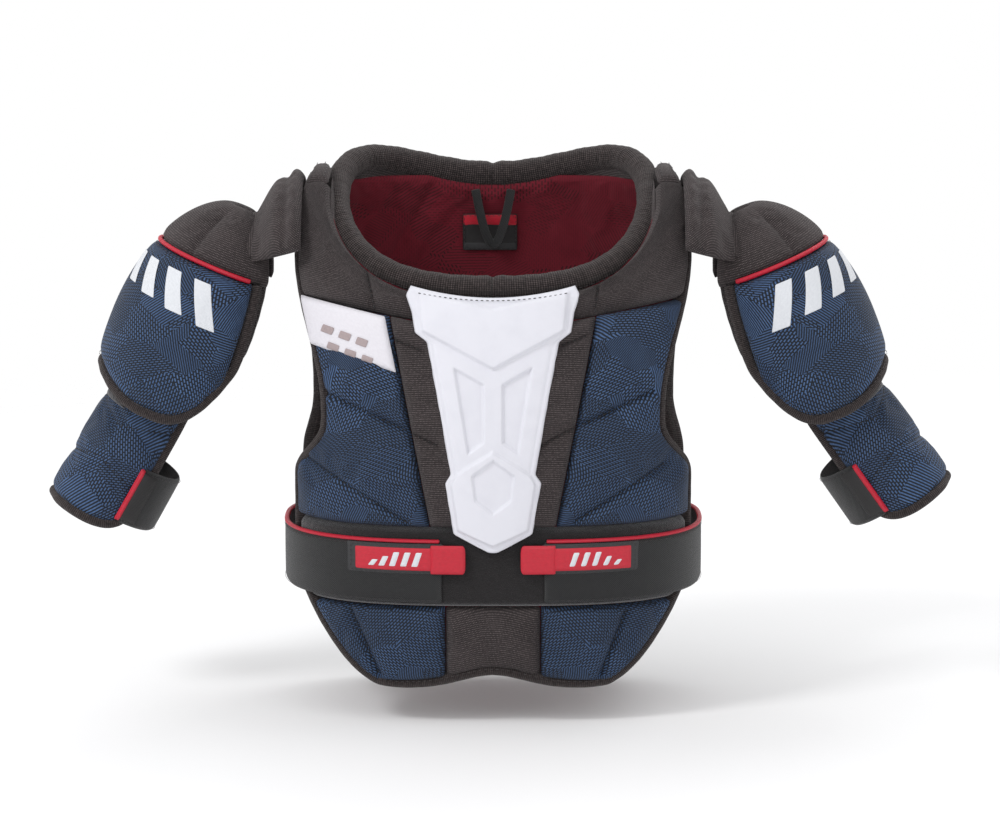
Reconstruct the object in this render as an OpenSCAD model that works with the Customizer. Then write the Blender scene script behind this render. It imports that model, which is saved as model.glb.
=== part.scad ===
// Hockey shoulder pads for a junior player.
// Frame: +Z up, the chest faces -Y, +X is the wearer's left. Z = 0 is the lowest point of the
// front hem, and X = Y = 0 lies midway between the chest and the back.

/* [Torso] */
// Half width of the body form that the lining wraps
torso_half_w = 156; // [150:1:162]
// Depth of the chest form in front of the shoulder ridge
front_depth = 108; // [100:1:114]
// Depth of the back form behind the shoulder ridge
back_depth = 92; // [86:1:98]
// Height of the fullest part of the chest
chest_z = 150; // [145:1:155]
// Height of the body form at the top of the shoulders
ridge_z = 398; // [394:1:400]
// How much shallower the form is at the hem than at the chest
hem_taper = 12; // [8:1:16]

/* [Panels] */
// Thickness of the lining
liner_t = 3.6; // [3:0.1:4]
// Outer face of the quilted pads, above the body form
pad_face = 12; // [11.6:0.1:12.2]
// Width of the edge binding
binding_w = 8; // [7:0.5:8.4]
// Gap between neighbouring sewn pieces
seam_gap = 1; // [0.8:0.1:1.4]

/* [Collar] */
// Half width of the neck ring
neck_half_w = 128; // [124:1:129]
// Radius of the collar roll
collar_r = 10; // [8:0.5:10]

/* [Arms] */
// Distance of the shoulder centre from the middle
shoulder_x = 206; // [204:1:209]
// Height of the shoulder centre
shoulder_z = 369; // [366:1:370]
// Tilt of the shoulder caps from hanging straight down
cap_tilt = 22; // [21:1:24]
// Radius of a shoulder cap
cap_r = 69; // [68:1:70]
// Rest tilt of the right bicep guard
guard_tilt_right = 30; // [28:1:32]
// Rest tilt of the left bicep guard
guard_tilt_left = 36; // [34:1:37]
// Radius of a bicep guard
guard_r = 41; // [40:0.5:41.5]

/* [Belts] */
// Width of the elastic belts
belt_w = 50; // [46:1:52]
// Height of the middle of the belts
belt_z = 99; // [97:1:101]

/* [Hidden] */

navy = "#2f3f66";
black = "#37322f";
jet = "#1c1c1d";
red = "#d3122f";
white = "#f0f0f4";
grey = "#77777c";
LEFT = 1;
RIGHT = -1;

ridge_y = 8;            // the shoulder ridge's place between front and back
form_power = 2.8;       // superellipse power of the body's cross-section
dome_power = 2.5;       // and of the curves from the chest and from the back up to the ridge
back_power = 4.5;
nape_rise = 24;         // how far the back stands above the shoulder ridge beside the neck
dome_arc = 300;         // length of the form from the chest up to the ridge
outline_w = torso_half_w + pad_face;
pad_base = liner_t + 1.3;
panel_inset = binding_w + seam_gap;
belt_base = pad_face + 1.8;
belt_face = belt_base + 2.4;
band_top = 134;         // the hook-and-loop band across the chest
band_bottom = 69;
liner_split = 298;      // the lining's seam between chest and yoke
back_split = 150;       // the seam between the lower back pad and the pads above it
back_liner_top = 380;
middle_gap = 1.5;       // half the gap between the two yoke linings
armhole_z = 172;        // height at which the armholes begin to curve in
patch_low = 274;        // height of the chest patch's outer edge
patch_high = 306;
dome_h = 117;           // length of a cap's dome, from its crown to its full radius
dome_end = dome_h - 10;
cap_flat = 0.92;        // front-to-back depth of a cap over its width
crown_wrap = 138;
cap_wrap = 120;
piping_at = 39;         // the cap's red piping, measured down the arm
guard_top = 14;         // the guard's ends, measured down from its hinge
guard_end = 157;
guard_wrap = 128;
guard_flat = 0.95;      // front-to-back depth of a guard over its width

// ---- Small functions ------------------------------------------------------------------------
function mix(a, b, t) = a + (b - a) * t;
function clamp(t) = min(1, max(0, t));
function ease(t) = let (c = clamp(t)) c * c * (3 - 2 * c);
function unit(v) = v / norm(v);
function sgn(t) = t < 0 ? -1 : 1;

// ---- The body form, by angle round the body and height along its skin -------------------------
function dome_angle(h) = 90 * (h - chest_z) / dome_arc;
function power_of(angle) = cos(angle) < 0 ? back_power : dome_power;
function reach(t, power) = pow(pow(abs(cos(t)), power) + pow(abs(sin(t)), power), -1 / power);
function top_of(angle) = cos(angle) >= 0 ? ridge_z
    : ridge_z + nape_rise * (1 - ease((abs(torso_half_w * sin(angle)) - 60) / 85));
function skin_z(h, angle = 0) = h <= chest_z ? h
    : let (t = dome_angle(h)) chest_z + (top_of(angle) - chest_z) * reach(t, power_of(angle)) * sin(t);
function skin_h(z, angle = 0) = z <= chest_z ? z
    : let (rise = clamp((z - chest_z) / (top_of(angle) - chest_z)), power = power_of(angle))
    chest_z + dome_arc / 90 * atan2(rise, pow(1 - pow(rise, power), 1 / power));
function depth_at(h, angle) = let (depth = cos(angle) > 0 ? front_depth : back_depth)
    h <= chest_z ? depth - hem_taper * pow((chest_z - h) / chest_z, 2)
    : let (t = dome_angle(h)) depth * reach(t, power_of(angle)) * cos(t);
function skin(angle, h) = let (
    bulge = pow(max(0, 1 - pow(abs(sin(angle)), form_power)), 1 / form_power))
    [torso_half_w * sin(angle), ridge_y - sgn(cos(angle)) * depth_at(h, angle) * bulge, skin_z(h, angle)];
function skin_normal(angle, h) = let (step = 0.5, top = min(h + step, chest_z + dome_arc))
    unit(cross(skin(angle + step, h) - skin(angle - step, h), skin(angle, top) - skin(angle, h - step)));
function torso(angle, h, d) = skin(angle, h) + d * skin_normal(angle, h);
// The angle of a point seen at x from the front, on the pads' faces
function front_angle(x) = asin(clamp(abs(x) / outline_w)) * sgn(x);
function back_angle(x) = 180 - front_angle(x);

// ---- Outlines, in the front view --------------------------------------------------------------
// Side and armhole edge of a torso panel
// Its half width grows from hem_half to full_half at full_z, and dips at the armhole
function panel_edge(z, hem_half, full_half, full_z, dip) = z < full_z
    ? hem_half + (full_half - hem_half) * sqrt(max(z, 0) / full_z)
    : full_half - dip * ease((z - armhole_z) / 42) + dip * ease((z - armhole_z - 53) / 120);
function front_edge(z) = panel_edge(z, 85, 165, 90, 22);
function back_edge(z) = panel_edge(z, 120, 164, 60, 8);
// The rise of the front hem at its middle
function hem(x) = 12 * exp(-pow(x / 40, 2));
// The same edges, moved in by an inset that is measured square to the edge
function inset_edge(here, below, above, inset) = let (slope = (above - below) / 2)
    here - inset * sqrt(1 + min(slope * slope, 8));
function front_side(z, inset) = inset_edge(front_edge(z), front_edge(z - 1), front_edge(z + 1), inset);
function back_side(z, inset) = inset_edge(back_edge(z), back_edge(z - 1), back_edge(z + 1), inset);
// The collar's centre line by angle from the front, and the panels' edge beside it
function collar_z(t) = 376 - 46 * cos(t) - 15 * cos(2 * t) + 8 * cos(3 * t);
function collar(t) = let (x = sin(t) * reach(t, 2.6), side_angle = asin(clamp(abs(x))))
    [neck_half_w * x, 8 - 87 * cos(t) * reach(t, 2.6), collar_z(cos(t) > 0 ? side_angle : 180 - side_angle)];
neck_edge = neck_half_w + collar_r + 8;
function neck_x(t) = neck_edge * sin(t);
function neck_z(t) = collar_z(t) - (collar_r + (cos(t) > 0 ? 6 : 9.5)) * abs(cos(t));
function front_neck(x) = neck_z(asin(clamp(abs(x) / neck_edge)));
function back_neck(x) = neck_z(180 - asin(clamp(abs(x) / neck_edge)));

// ---- Solids from a formula ----------------------------------------------------------------------
function quad(a, b, c, d) = [[a, b, c], [a, c, d]];
// A closed sheet: place(u, v, w) gives the point, with w = 0 on the inner face and 1 on the outer
module sheet(place, nu, nv) {
    function id(i, j, w) = (w * (nv + 1) + j) * (nu + 1) + i;
    points = [for (w = [0, 1], j = [0:nv], i = [0:nu]) place(i / nu, j / nv, w)];
    raw = [
        for (j = [0:nv - 1], i = [0:nu - 1]) each concat(
            quad(id(i, j, 1), id(i, j + 1, 1), id(i + 1, j + 1, 1), id(i + 1, j, 1)),
            quad(id(i, j, 0), id(i + 1, j, 0), id(i + 1, j + 1, 0), id(i, j + 1, 0))),
        for (i = [0:nu - 1]) each concat(
            quad(id(i, 0, 0), id(i, 0, 1), id(i + 1, 0, 1), id(i + 1, 0, 0)),
            quad(id(i, nv, 0), id(i + 1, nv, 0), id(i + 1, nv, 1), id(i, nv, 1))),
        for (j = [0:nv - 1]) each concat(
            quad(id(0, j, 0), id(0, j + 1, 0), id(0, j + 1, 1), id(0, j, 1)),
            quad(id(nu, j, 0), id(nu, j, 1), id(nu, j + 1, 1), id(nu, j + 1, 0)))];
    m = place(0.5, 0.5, 0);
    turn = cross(place(0.5 + 1 / nu, 0.5, 0) - m, place(0.5, 0.5 + 1 / nv, 0) - m) * (place(0.5, 0.5, 1) - m);
    polyhedron(points, turn > 0 ? raw : [for (f = raw) [f[2], f[1], f[0]]]);
}
// A rounded bead along a path: ups are the directions of its half_t thickness
module bead(path, ups, half_w, half_t, sides = 8, closed = false) {
    n = len(path);
    function along(i) = unit(path[closed ? (i + 1) % n : min(n - 1, i + 1)]
        - path[closed ? (i + n - 1) % n : max(0, i - 1)]);
    points = [for (i = [0:n - 1]) let (t = along(i), s = unit(cross(t, ups[i])), m = cross(s, t))
        for (k = [0:sides - 1]) let (turn = 360 * k / sides)
            path[i] + s * half_w * cos(turn) + m * half_t * sin(turn)];
    function id(i, k) = (i % n) * sides + k % sides;
    polyhedron(points, [
        for (i = [0:closed ? n - 1 : n - 2], k = [0:sides - 1])
            each quad(id(i, k), id(i, k + 1), id(i + 1, k + 1), id(i + 1, k)),
        if (!closed) for (k = [1:sides - 2]) [id(0, 0), id(0, k + 1), id(0, k)],
        if (!closed) for (k = [1:sides - 2]) [id(n - 1, 0), id(n - 1, k), id(n - 1, k + 1)]]);
}
// A torso panel between two side edges, each a function of v that returns [x, z] in the front view.
// Where lift is 1, its lower edge follows the hem.
module panel(outer, inner, d0, d1, nu, nv, back = false, lift = 0) {
    sheet(function (u, v, w)
        let (p = mix(outer(v), inner(v), u),
            angle = back ? back_angle(p[0]) : front_angle(p[0]),
            z = p[1] + lift * hem(p[0]) * (1 - v))
        torso(angle, skin_h(z, angle), mix(d0, d1, w)), nu, nv);
}

// ---- Front of the vest ---------------------------------------------------------------------------
module front_liner() {
    color(red) panel(
        function (v) let (z = mix(panel_inset + 1, liner_split, v)) [-front_side(z, panel_inset), z],
        function (v) let (z = mix(panel_inset + 1, liner_split, v)) [front_side(z, panel_inset), z],
        0, liner_t, 20, 12, false, 1);
}
// Heights spaced evenly along the skin, and a point on the side edge of a panel's inner stitching
function rise(low, v) = skin_z(mix(skin_h(low), skin_h(ridge_z) - 3, v));
function front_point(side, z) = [side * front_side(z, panel_inset), z];
function back_point(side, z) = [side * back_side(z, panel_inset), z];
// The lining of the yoke: its top follows the neck ring and then the shoulder ridge
module yoke_liner(side) {
    low_h = skin_h(liner_split + seam_gap);
    top_h = skin_h(ridge_z) - 3;
    side_x = front_side(ridge_z, panel_inset);
    color(red) sheet(function (u, v, w) let (
        spread = sin(90 * u), x_top = mix(middle_gap, side_x, spread),
        top = x_top > neck_edge ? top_h : min(skin_h(front_neck(x_top) - 2), top_h),
        z = skin_z(mix(low_h, top, v)), x = mix(middle_gap, front_side(z, panel_inset), spread),
        angle = front_angle(side * x))
        torso(angle, skin_h(z, angle), liner_t * w), 12, 7);
}
// The yoke's inner edge follows the neck ring and then the shoulder ridge
function neck_path(v, from_x) = let (t = mix(asin(from_x / neck_edge), 90, v))
    [neck_x(t), min(neck_z(t) + 2 * v, ridge_z - 0.5)];
module yoke(side) {
    color(black) panel(
        function (v) front_point(side, rise(313, v)),
        function (v) let (p = neck_path(v, 43)) [side * p[0], v == 0 ? 293 : p[1]],
        pad_base + 0.4, pad_face, 7, 9);
}
module sternum_pad() {
    color(black) panel(
        function (v) let (x = -mix(20, 42, v)) [x, mix(band_top + seam_gap, front_neck(x), v)],
        function (v) let (x = mix(20, 42, v)) [x, mix(band_top + seam_gap, front_neck(x), v)],
        pad_base, pad_face, 5, 8);
}
module chest_column(side) {
    color(black) panel(
        function (v) [side * mix(53, 87, v), mix(band_top + seam_gap, 298, v)],
        function (v) [side * mix(21, 41, v), mix(band_top + seam_gap, 290, v)],
        pad_base, pad_face, 4, 8);
}
module chest_pad(side) {
    color(navy) panel(
        function (v) front_point(side, mix(band_top + seam_gap, 311, v)),
        function (v) [side * mix(54, 88, v), mix(band_top + seam_gap, 301, v)],
        pad_base, pad_face, 7, 10);
}
module loop_band() {
    color(jet) panel(
        function (v) let (z = mix(band_bottom, band_top, v)) [-front_side(z, panel_inset), z],
        function (v) let (z = mix(band_bottom, band_top, v)) [front_side(z, panel_inset), z],
        pad_base, pad_face, 18, 4);
}
module lower_pad(side) {
    color(navy) panel(
        function (v) let (z = mix(panel_inset + 1, band_bottom - seam_gap, v))
            [side * front_side(z, panel_inset + 1), z],
        function (v) [side * 41, mix(panel_inset + 1, band_bottom - seam_gap, v)],
        pad_base, pad_face, 8, 5, false, 1);
}
module lower_pad_centre() {
    color(black) panel(
        function (v) [-40, mix(panel_inset, band_bottom - seam_gap, v)],
        function (v) [40, mix(panel_inset, band_bottom - seam_gap, v)],
        pad_base, pad_face, 8, 4, false, 1);
}
// Half widths of the moulded plate, by height
plate_rows = [[116, 3], [130, 33], [171, 41], [178, 36], [281, 55], [291, 67], [314, 72]];
module sternum_plate() {
    last = len(plate_rows) - 1;
    heights = [for (i = [0:last - 1]) each [plate_rows[i][0], (plate_rows[i][0] + plate_rows[i + 1][0]) / 2],
        plate_rows[last][0]];
    rows = len(heights) - 1;
    color(white) sheet(function (u, v, w) let (
        z0 = heights[round(v * rows)], half = lookup(z0, plate_rows), x = (2 * u - 1) * half,
        z = z0 - ease((z0 - 240) / 74) * 9 * (1 - pow(2 * u - 1, 2)) + (z0 > 312 ? 1 : 0),
        crown = 3 * (1 - pow(abs(2 * u - 1), 3)))
        torso(front_angle(x), skin_h(z), w == 0 ? pad_face + 1 : pad_face + 4.5 + crown), 10, rows);
}
module chest_patch() {
    color(white) panel(
        function (v) [-mix(145, 150, v), mix(patch_low, patch_high, v)],
        function (v) [-mix(84, 93, v), mix(patch_low - 17, patch_high - 14, v)],
        pad_face + 0.4, pad_face + 1.6, 5, 3);
}
// A sewn strip over the shoulder ridge, from the yoke to the back, on top of both
module shoulder_strip(side) {
    color(black) sheet(function (u, v, w) let (
        t = 2 * v - 1, x = side * mix(143, 158, u))
        torso(t < 0 ? front_angle(x) : back_angle(x), chest_z + dome_arc - 62 * abs(t),
            mix(pad_face + 0.6, pad_face + 4, w)), 3, 14);
}
// Points of an edge binding, from one shoulder down round the hem and up to the other
function binding_half(side, back) = let (
    top = ridge_z - 6, low = back ? 12 : 6, half = binding_w / 2 + 0.3)
    [for (i = [0:26]) let (z = skin_z(mix(skin_h(top), skin_h(low), i / 26)))
        [side * (back ? back_side(z, half) : front_side(z, half)), z]];
function hem_row(back) = let (reach = back ? 108 : 84)
    [for (i = [1:17]) let (x = reach * (1 - i / 9)) [x, (back ? 4.5 : hem(x) + 4.5)]];
module vest_binding(back) {
    right = binding_half(RIGHT, back);
    outline = concat(binding_half(LEFT, back), hem_row(back), [for (i = [len(right) - 1:-1:0]) right[i]]);
    mid = pad_face / 2;
    function angle(x) = back ? back_angle(x) : front_angle(x);
    function height(p) = skin_h(p[1], angle(p[0]));
    color(black) bead([for (p = outline) torso(angle(p[0]), height(p), mid)],
        [for (p = outline) skin_normal(angle(p[0]), height(p))], binding_w / 2, mid + 1, 8);
}
module front_binding() { vest_binding(false); }

// ---- Back of the vest ----------------------------------------------------------------------------
spine_half = 34;
module back_liner() {
    function height(v) = mix(panel_inset + 6, back_liner_top, v);
    color(red) panel(
        function (v) [-back_side(height(v), panel_inset + 1), height(v)],
        function (v) [back_side(height(v), panel_inset + 1), height(v)],
        0, liner_t, 20, 13, true);
}
module back_pad(side) {
    color(navy) panel(
        function (v) back_point(side, rise(back_split, v)),
        function (v) v < 0.5 ? [side * (spine_half + seam_gap), mix(back_split, back_neck(35) - 1, v * 2)]
            : let (t = mix(165, 90, v * 2 - 1)) [side * neck_x(t), min(neck_z(t), ridge_z - 3)],
        pad_base, pad_face, 7, 14, true);
}
module spine_pad() {
    color(black) panel(
        function (v) [-spine_half, mix(back_split, back_neck(35) - 2, v)],
        function (v) [spine_half, mix(back_split, back_neck(35) - 2, v)],
        pad_base, pad_face + 4, 5, 9, true);
}
module lower_back_pad() {
    function height(v) = mix(panel_inset + 6, back_split - seam_gap, v);
    color(black) panel(
        function (v) [-back_side(height(v), panel_inset + 1), height(v)],
        function (v) [back_side(height(v), panel_inset + 1), height(v)],
        pad_base, pad_face, 16, 6, true);
}
module back_binding() { vest_binding(true); }

// ---- Neck ------------------------------------------------------------------------------------------
module collar_roll() {
    count = 52;
    path = [for (i = [0:count - 1]) collar(360 * i / count)];
    color(black) bead(path, [for (p = path) [0, 0, 1]], collar_r, collar_r, 10, true);
}
module hanger_loop() {
    path = [for (i = [0:12]) let (t = 180 * i / 12) [14 * cos(t), 77 + 8 * sin(t), 386 - 46 * sin(t)]];
    color(jet) bead(path, [for (p = path) [0, 1, 0]], 4, 1.2, 8);
}
module neck_label() {
    half = 30;
    function height(v) = mix(326, 366, v);
    color(jet) panel(function (v) [-half, height(v)], function (v) [half, height(v)], -2.4, -1.2, 4, 3, true);
}

// ---- Belts -------------------------------------------------------------------------------------------
belt_end = 15;      // angles round the body: the belts' free ends and their anchors
belt_anchor = 122;
module belt_sheet(side, from, to, low, high, d0, d1, nu) {
    sheet(function (u, v, w) torso(side * mix(from, to, u), mix(low, high, v), mix(d0, d1, w)), nu, 2);
}
module belt(side) {
    color(jet) belt_sheet(side, belt_end, belt_anchor, belt_z - belt_w / 2, belt_z + belt_w / 2,
        belt_base, belt_face, 22);
}
module belt_hook(side) {
    color(grey) belt_sheet(side, belt_end + 1, belt_end + 15, belt_z - 21, belt_z + 21,
        pad_face + 0.4, belt_base - 0.3, 4);
}
module belt_tab(side) {
    color(red) belt_sheet(side, belt_end - 3.5, belt_end + 14, belt_z - 5, belt_z + 22,
        belt_face + 0.4, belt_face + 1.8, 5);
}

// ---- Arms ----------------------------------------------------------------------------------------------
function down(side, tilt) = [side * sin(tilt), 0, -cos(tilt)];
function outward(side, tilt) = [side * cos(tilt), 0, sin(tilt)];
function shoulder(side) = [side * shoulder_x, ridge_y, shoulder_z];
// A cap's skin, by angle round the arm and q: 0 at the crown, 90 at the full radius, then the tail
function cap_a(q) = q < 90 ? dome_end - dome_h * cos(q) : dome_end + (q - 90) * 1.3;
function cap_q(a) = a < dome_end ? acos((dome_end - a) / dome_h) : 90 + (a - dome_end) / 1.3;
function cap_radius(q) = q < 90 ? cap_r * sin(q) : cap_r - 5 * pow((q - 90) / 50, 2);
function cap(side, angle, q, d) = let (
    n = unit([-cos(min(q, 90)) / dome_h, sin(min(q, 90)) / cap_r]),
    r = cap_radius(q) + d * n[1])
    shoulder(side) + (cap_a(q) + d * n[0]) * down(side, cap_tilt)
    + r * cos(angle) * outward(side, cap_tilt) + [0, cap_flat * r * sin(angle), 0];
// The lower edge of a cap: higher at the side, lowest at front and back, cut off at the corners
function cap_edge(angle) = let (b = abs(angle))
    150 + 20 * ease(b / 72) - 42 * pow(max(0, b - 80) / 40, 3);
module cap_sheet(side, wrap, top, inset, d0, d1, nu, nv) {
    sheet(function (u, v, w) let (angle = wrap * (2 * u - 1),
        low = cap_edge(angle) - inset - 10 * pow(max(0, abs(angle) - 80) / 40, 2),
        q = mix(cap_q(top), cap_q(low), v)) cap(side, angle, q, mix(d0, d1, w)), nu, nv);
}
module crown(side) {
    color(black) sheet(function (u, v, w)
        cap(side, crown_wrap * (2 * u - 1), mix(cap_q(-6), cap_q(piping_at - 3), v), mix(-4, 0, w)), 16, 6);
}
module cap_face(side) { color(navy) cap_sheet(side, cap_wrap - 2, piping_at + 3, 6, -4, 0, 16, 8); }
module cap_cup(side) { color(white) cap_sheet(side, cap_wrap - 2, 10, 10, -6.9, -5.2, 16, 9); }
module cap_liner(side) { color(black) cap_sheet(side, cap_wrap - 2, 14, 8, -11.4, -8.2, 16, 8); }
module cap_piping(side) {
    path = [for (i = [0:20]) cap(side, mix(-112, 112, i / 20), cap_q(piping_at), 0.6)];
    color(red) bead(path, [for (p = path) down(side, cap_tilt)], 1.9, 1.9, 8);
}
module cap_binding(side) {
    wrap = cap_wrap + 5;
    rise = [for (i = [0:7]) [wrap, mix(piping_at + 3, cap_edge(wrap) - 4, i / 8)]];
    low = [for (i = [0:24]) let (angle = wrap * (1 - i / 12)) [angle, cap_edge(angle) - 1]];
    drop = [for (i = [7:-1:0]) [-rise[i][0], rise[i][1]]];
    outline = concat(rise, low, drop);
    function point(p, d) = cap(side, p[0], cap_q(p[1]), d);
    color(black) bead([for (p = outline) point(p, -5)],
        [for (p = outline) unit(point(p, 0) - point(p, -5))], 3.6, 6, 8);
}
// The epaulet: a padded arch over the shoulder, by angle over the arch and share of its width
epaulet_in = 159;
epaulet_out = 192;
function arch(side, angle, u, d) = let (
    x = mix(epaulet_in, epaulet_out, u), ry = mix(64, 50, u), rz = mix(60, 40, u),
    n = unit([cos(angle) / ry, sin(angle) / rz]))
    [side * (x + d * 0.25), ridge_y + ry * cos(angle) + d * n[0], 338 + rz * sin(angle) + d * n[1]];
module epaulet(side) {
    color(black) sheet(function (u, v, w) let (puff = 3 * sin(180 * u) * sin(180 * v))
        arch(side, mix(14, 166, v), u, w == 0 ? 5 : 13 + puff), 5, 14);
}

// The bicep guard, hinged inside the cap
function guard_tilt(side) = side == LEFT ? guard_tilt_left : guard_tilt_right;
function guard_hinge(side) = shoulder(side) + 120 * down(side, cap_tilt) + 2 * outward(side, cap_tilt);
function guard(side, angle, a, d) = let (tilt = guard_tilt(side), r = guard_r + 2 * a / guard_end + d)
    guard_hinge(side) + a * down(side, tilt) + r * cos(angle) * outward(side, tilt)
        + [0, guard_flat * r * sin(angle), 0];
module guard_sheet(side, wrap, inset, d0, d1, nu, nv) {
    middle = (guard_top + guard_end) / 2;
    half = (guard_end - guard_top) / 2 - inset;
    sheet(function (u, v, w) let (k = 2 * u - 1, reach = half * pow(1 - pow(abs(0.98 * k), 6), 1 / 6))
        guard(side, wrap * k, middle + reach * (2 * v - 1), mix(d0, d1, w)), nu, nv);
}
module guard_pad(side) { color(navy) guard_sheet(side, guard_wrap - 8, 7, -3.2, 0, 16, 8); }
module guard_plate(side) { color(white) guard_sheet(side, guard_wrap - 8, 22, -5.4, -3.9, 16, 6); }
module guard_liner(side) { color(red) guard_sheet(side, guard_wrap - 8, 7, -9, -6.2, 16, 8); }
module guard_binding(side) {
    count = 40;
    middle = (guard_top + guard_end) / 2;
    half = (guard_end - guard_top) / 2 - 2;
    function corner(t) = sgn(t) * pow(abs(t), 1 / 3);
    outline = [for (i = [0:count - 1]) let (t = 360 * i / count)
        [(guard_wrap - 1) * corner(cos(t)), middle + half * corner(sin(t))]];
    function point(p, d) = guard(side, p[0], p[1], d);
    color(black) bead([for (p = outline) point(p, -4.5)],
        [for (p = outline) unit(point(p, 0) - point(p, -4.5))], 3.4, 5.2, 8, true);
}
module guard_band(side, from, to, low, high, d0, d1, nu) {
    sheet(function (u, v, w) guard(side, mix(from, to, u), mix(low, high, v), mix(d0, d1, w)), nu, 2);
}
module guard_loop(side) { color(jet) guard_band(side, -30, -2, 52, 96, 0.4, 2, 4); }
module arm_strap(side) { color(jet) guard_band(side, -240, -112, 94, 144, 2.2, 4.4, 12); }

front_liner();
sternum_pad();
sternum_plate();
chest_pad(LEFT);  // chest_pad_left
chest_pad(RIGHT);  // chest_pad_right
chest_column(LEFT);  // chest_column_left
chest_column(RIGHT);  // chest_column_right
yoke(LEFT);  // yoke_left
yoke(RIGHT);  // yoke_right
yoke_liner(LEFT);  // yoke_liner_left
yoke_liner(RIGHT);  // yoke_liner_right
shoulder_strip(LEFT);  // shoulder_strip_left
shoulder_strip(RIGHT);  // shoulder_strip_right
chest_patch();
loop_band();
lower_pad(LEFT);  // lower_pad_left
lower_pad(RIGHT);  // lower_pad_right
lower_pad_centre();
front_binding();
back_liner();
back_pad(LEFT);  // back_pad_left
back_pad(RIGHT);  // back_pad_right
spine_pad();
lower_back_pad();
back_binding();
collar_roll();
hanger_loop();
neck_label();
belt(LEFT);  // belt_left
belt(RIGHT);  // belt_right
belt_hook(LEFT);  // belt_hook_left
belt_hook(RIGHT);  // belt_hook_right
belt_tab(LEFT);  // belt_tab_left
belt_tab(RIGHT);  // belt_tab_right
epaulet(LEFT);  // epaulet_left
epaulet(RIGHT);  // epaulet_right
crown(LEFT);  // crown_left
crown(RIGHT);  // crown_right
cap_face(LEFT);  // cap_face_left
cap_face(RIGHT);  // cap_face_right
cap_cup(LEFT);  // cap_cup_left
cap_cup(RIGHT);  // cap_cup_right
cap_liner(LEFT);  // cap_liner_left
cap_liner(RIGHT);  // cap_liner_right
cap_piping(LEFT);  // cap_piping_left
cap_piping(RIGHT);  // cap_piping_right
cap_binding(LEFT);  // cap_binding_left
cap_binding(RIGHT);  // cap_binding_right
guard_pad(LEFT);  // guard_pad_left
guard_pad(RIGHT);  // guard_pad_right
guard_plate(LEFT);  // guard_plate_left
guard_plate(RIGHT);  // guard_plate_right
guard_liner(LEFT);  // guard_liner_left
guard_liner(RIGHT);  // guard_liner_right
guard_binding(LEFT);  // guard_binding_left
guard_binding(RIGHT);  // guard_binding_right
guard_loop(LEFT);  // guard_loop_left
guard_loop(RIGHT);  // guard_loop_right
arm_strap(LEFT);  // arm_strap_left
arm_strap(RIGHT);  // arm_strap_right
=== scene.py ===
import math
import bpy
import bmesh
import numpy as np
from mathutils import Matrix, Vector
from mathutils.bvhtree import BVHTree


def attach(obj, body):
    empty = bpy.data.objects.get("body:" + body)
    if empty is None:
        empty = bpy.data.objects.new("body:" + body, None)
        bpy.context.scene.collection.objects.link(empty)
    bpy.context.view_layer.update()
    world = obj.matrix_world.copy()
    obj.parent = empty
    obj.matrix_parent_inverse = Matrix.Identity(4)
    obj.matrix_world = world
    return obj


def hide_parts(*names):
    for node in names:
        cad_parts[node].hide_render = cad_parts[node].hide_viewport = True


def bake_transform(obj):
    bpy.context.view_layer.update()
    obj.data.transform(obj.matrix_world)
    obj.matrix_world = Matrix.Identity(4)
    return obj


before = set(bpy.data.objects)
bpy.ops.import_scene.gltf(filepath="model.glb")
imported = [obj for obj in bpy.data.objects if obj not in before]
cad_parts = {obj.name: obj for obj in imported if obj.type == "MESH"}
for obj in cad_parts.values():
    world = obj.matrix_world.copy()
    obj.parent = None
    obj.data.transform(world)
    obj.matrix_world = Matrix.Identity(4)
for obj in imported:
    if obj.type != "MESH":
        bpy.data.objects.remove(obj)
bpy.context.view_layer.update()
scene = bpy.context.scene

# ---- Driving dimensions, in millimetres, as in the CAD frame -----------------------------------------
MM = 0.001
TORSO_HALF_W = 156
FRONT_DEPTH = 108
BACK_DEPTH = 92
CHEST_Z = 150
RIDGE_Z = 398
RIDGE_Y = 8
HEM_TAPER = 12
FORM_POWER = 2.8
DOME_POWER = 2.5
BACK_POWER = 4.5
NAPE_RISE = 24
DOME_ARC = 300
LINER_T = 3.6
PAD_FACE = 12
PAD_BASE = LINER_T + 0.4
BINDING_W = 8
NECK_HALF_W = 128
COLLAR_R = 10
NECK_EDGE = NECK_HALF_W + COLLAR_R + 3
OUTLINE_W = TORSO_HALF_W + PAD_FACE
BAND_TOP = 134
BAND_BOTTOM = 69
BELT_Z = 99
BELT_W = 50
BELT_BASE = PAD_FACE + 1.8
BELT_FACE = BELT_BASE + 2.4
BELT_END = 15
BELT_ANCHOR = 122
SHOULDER_X = 206
SHOULDER_Z = 369
CAP_TILT = 22
CAP_R = 69
CAP_FLAT = 0.92
DOME_H = 117
DOME_END = DOME_H - 10
CROWN_WRAP = 138
CAP_WRAP = 120
PIPING_AT = 39
GUARD_TILT = {1: 36, -1: 30}
GUARD_R = 41
GUARD_TOP = 14
GUARD_END = 157
GUARD_WRAP = 128
SIDES = {"left": 1, "right": -1}
TURN = 6.283        # one turn in radians, for the weaves
FLAT = dict(cloth=False, fill=0)                            # pads that aren't inflated
TAPE = dict(cell=2.6, puff=0.25, edge=1.2, **FLAT)          # webbing and labels


# ---- Small functions on arrays -----------------------------------------------------------------------
def sind(t):
    return np.sin(np.radians(t))


def cosd(t):
    return np.cos(np.radians(t))


def mix(a, b, t):
    return a + (b - a) * t


def ease(t):
    c = np.clip(t, 0, 1)
    return c * c * (3 - 2 * c)


def unit(v):
    return v / np.maximum(np.linalg.norm(v, axis=-1, keepdims=True), 1e-9)


def stack(x, y, z):
    return np.stack(np.broadcast_arrays(x, y, z), axis=-1).astype(float)


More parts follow.
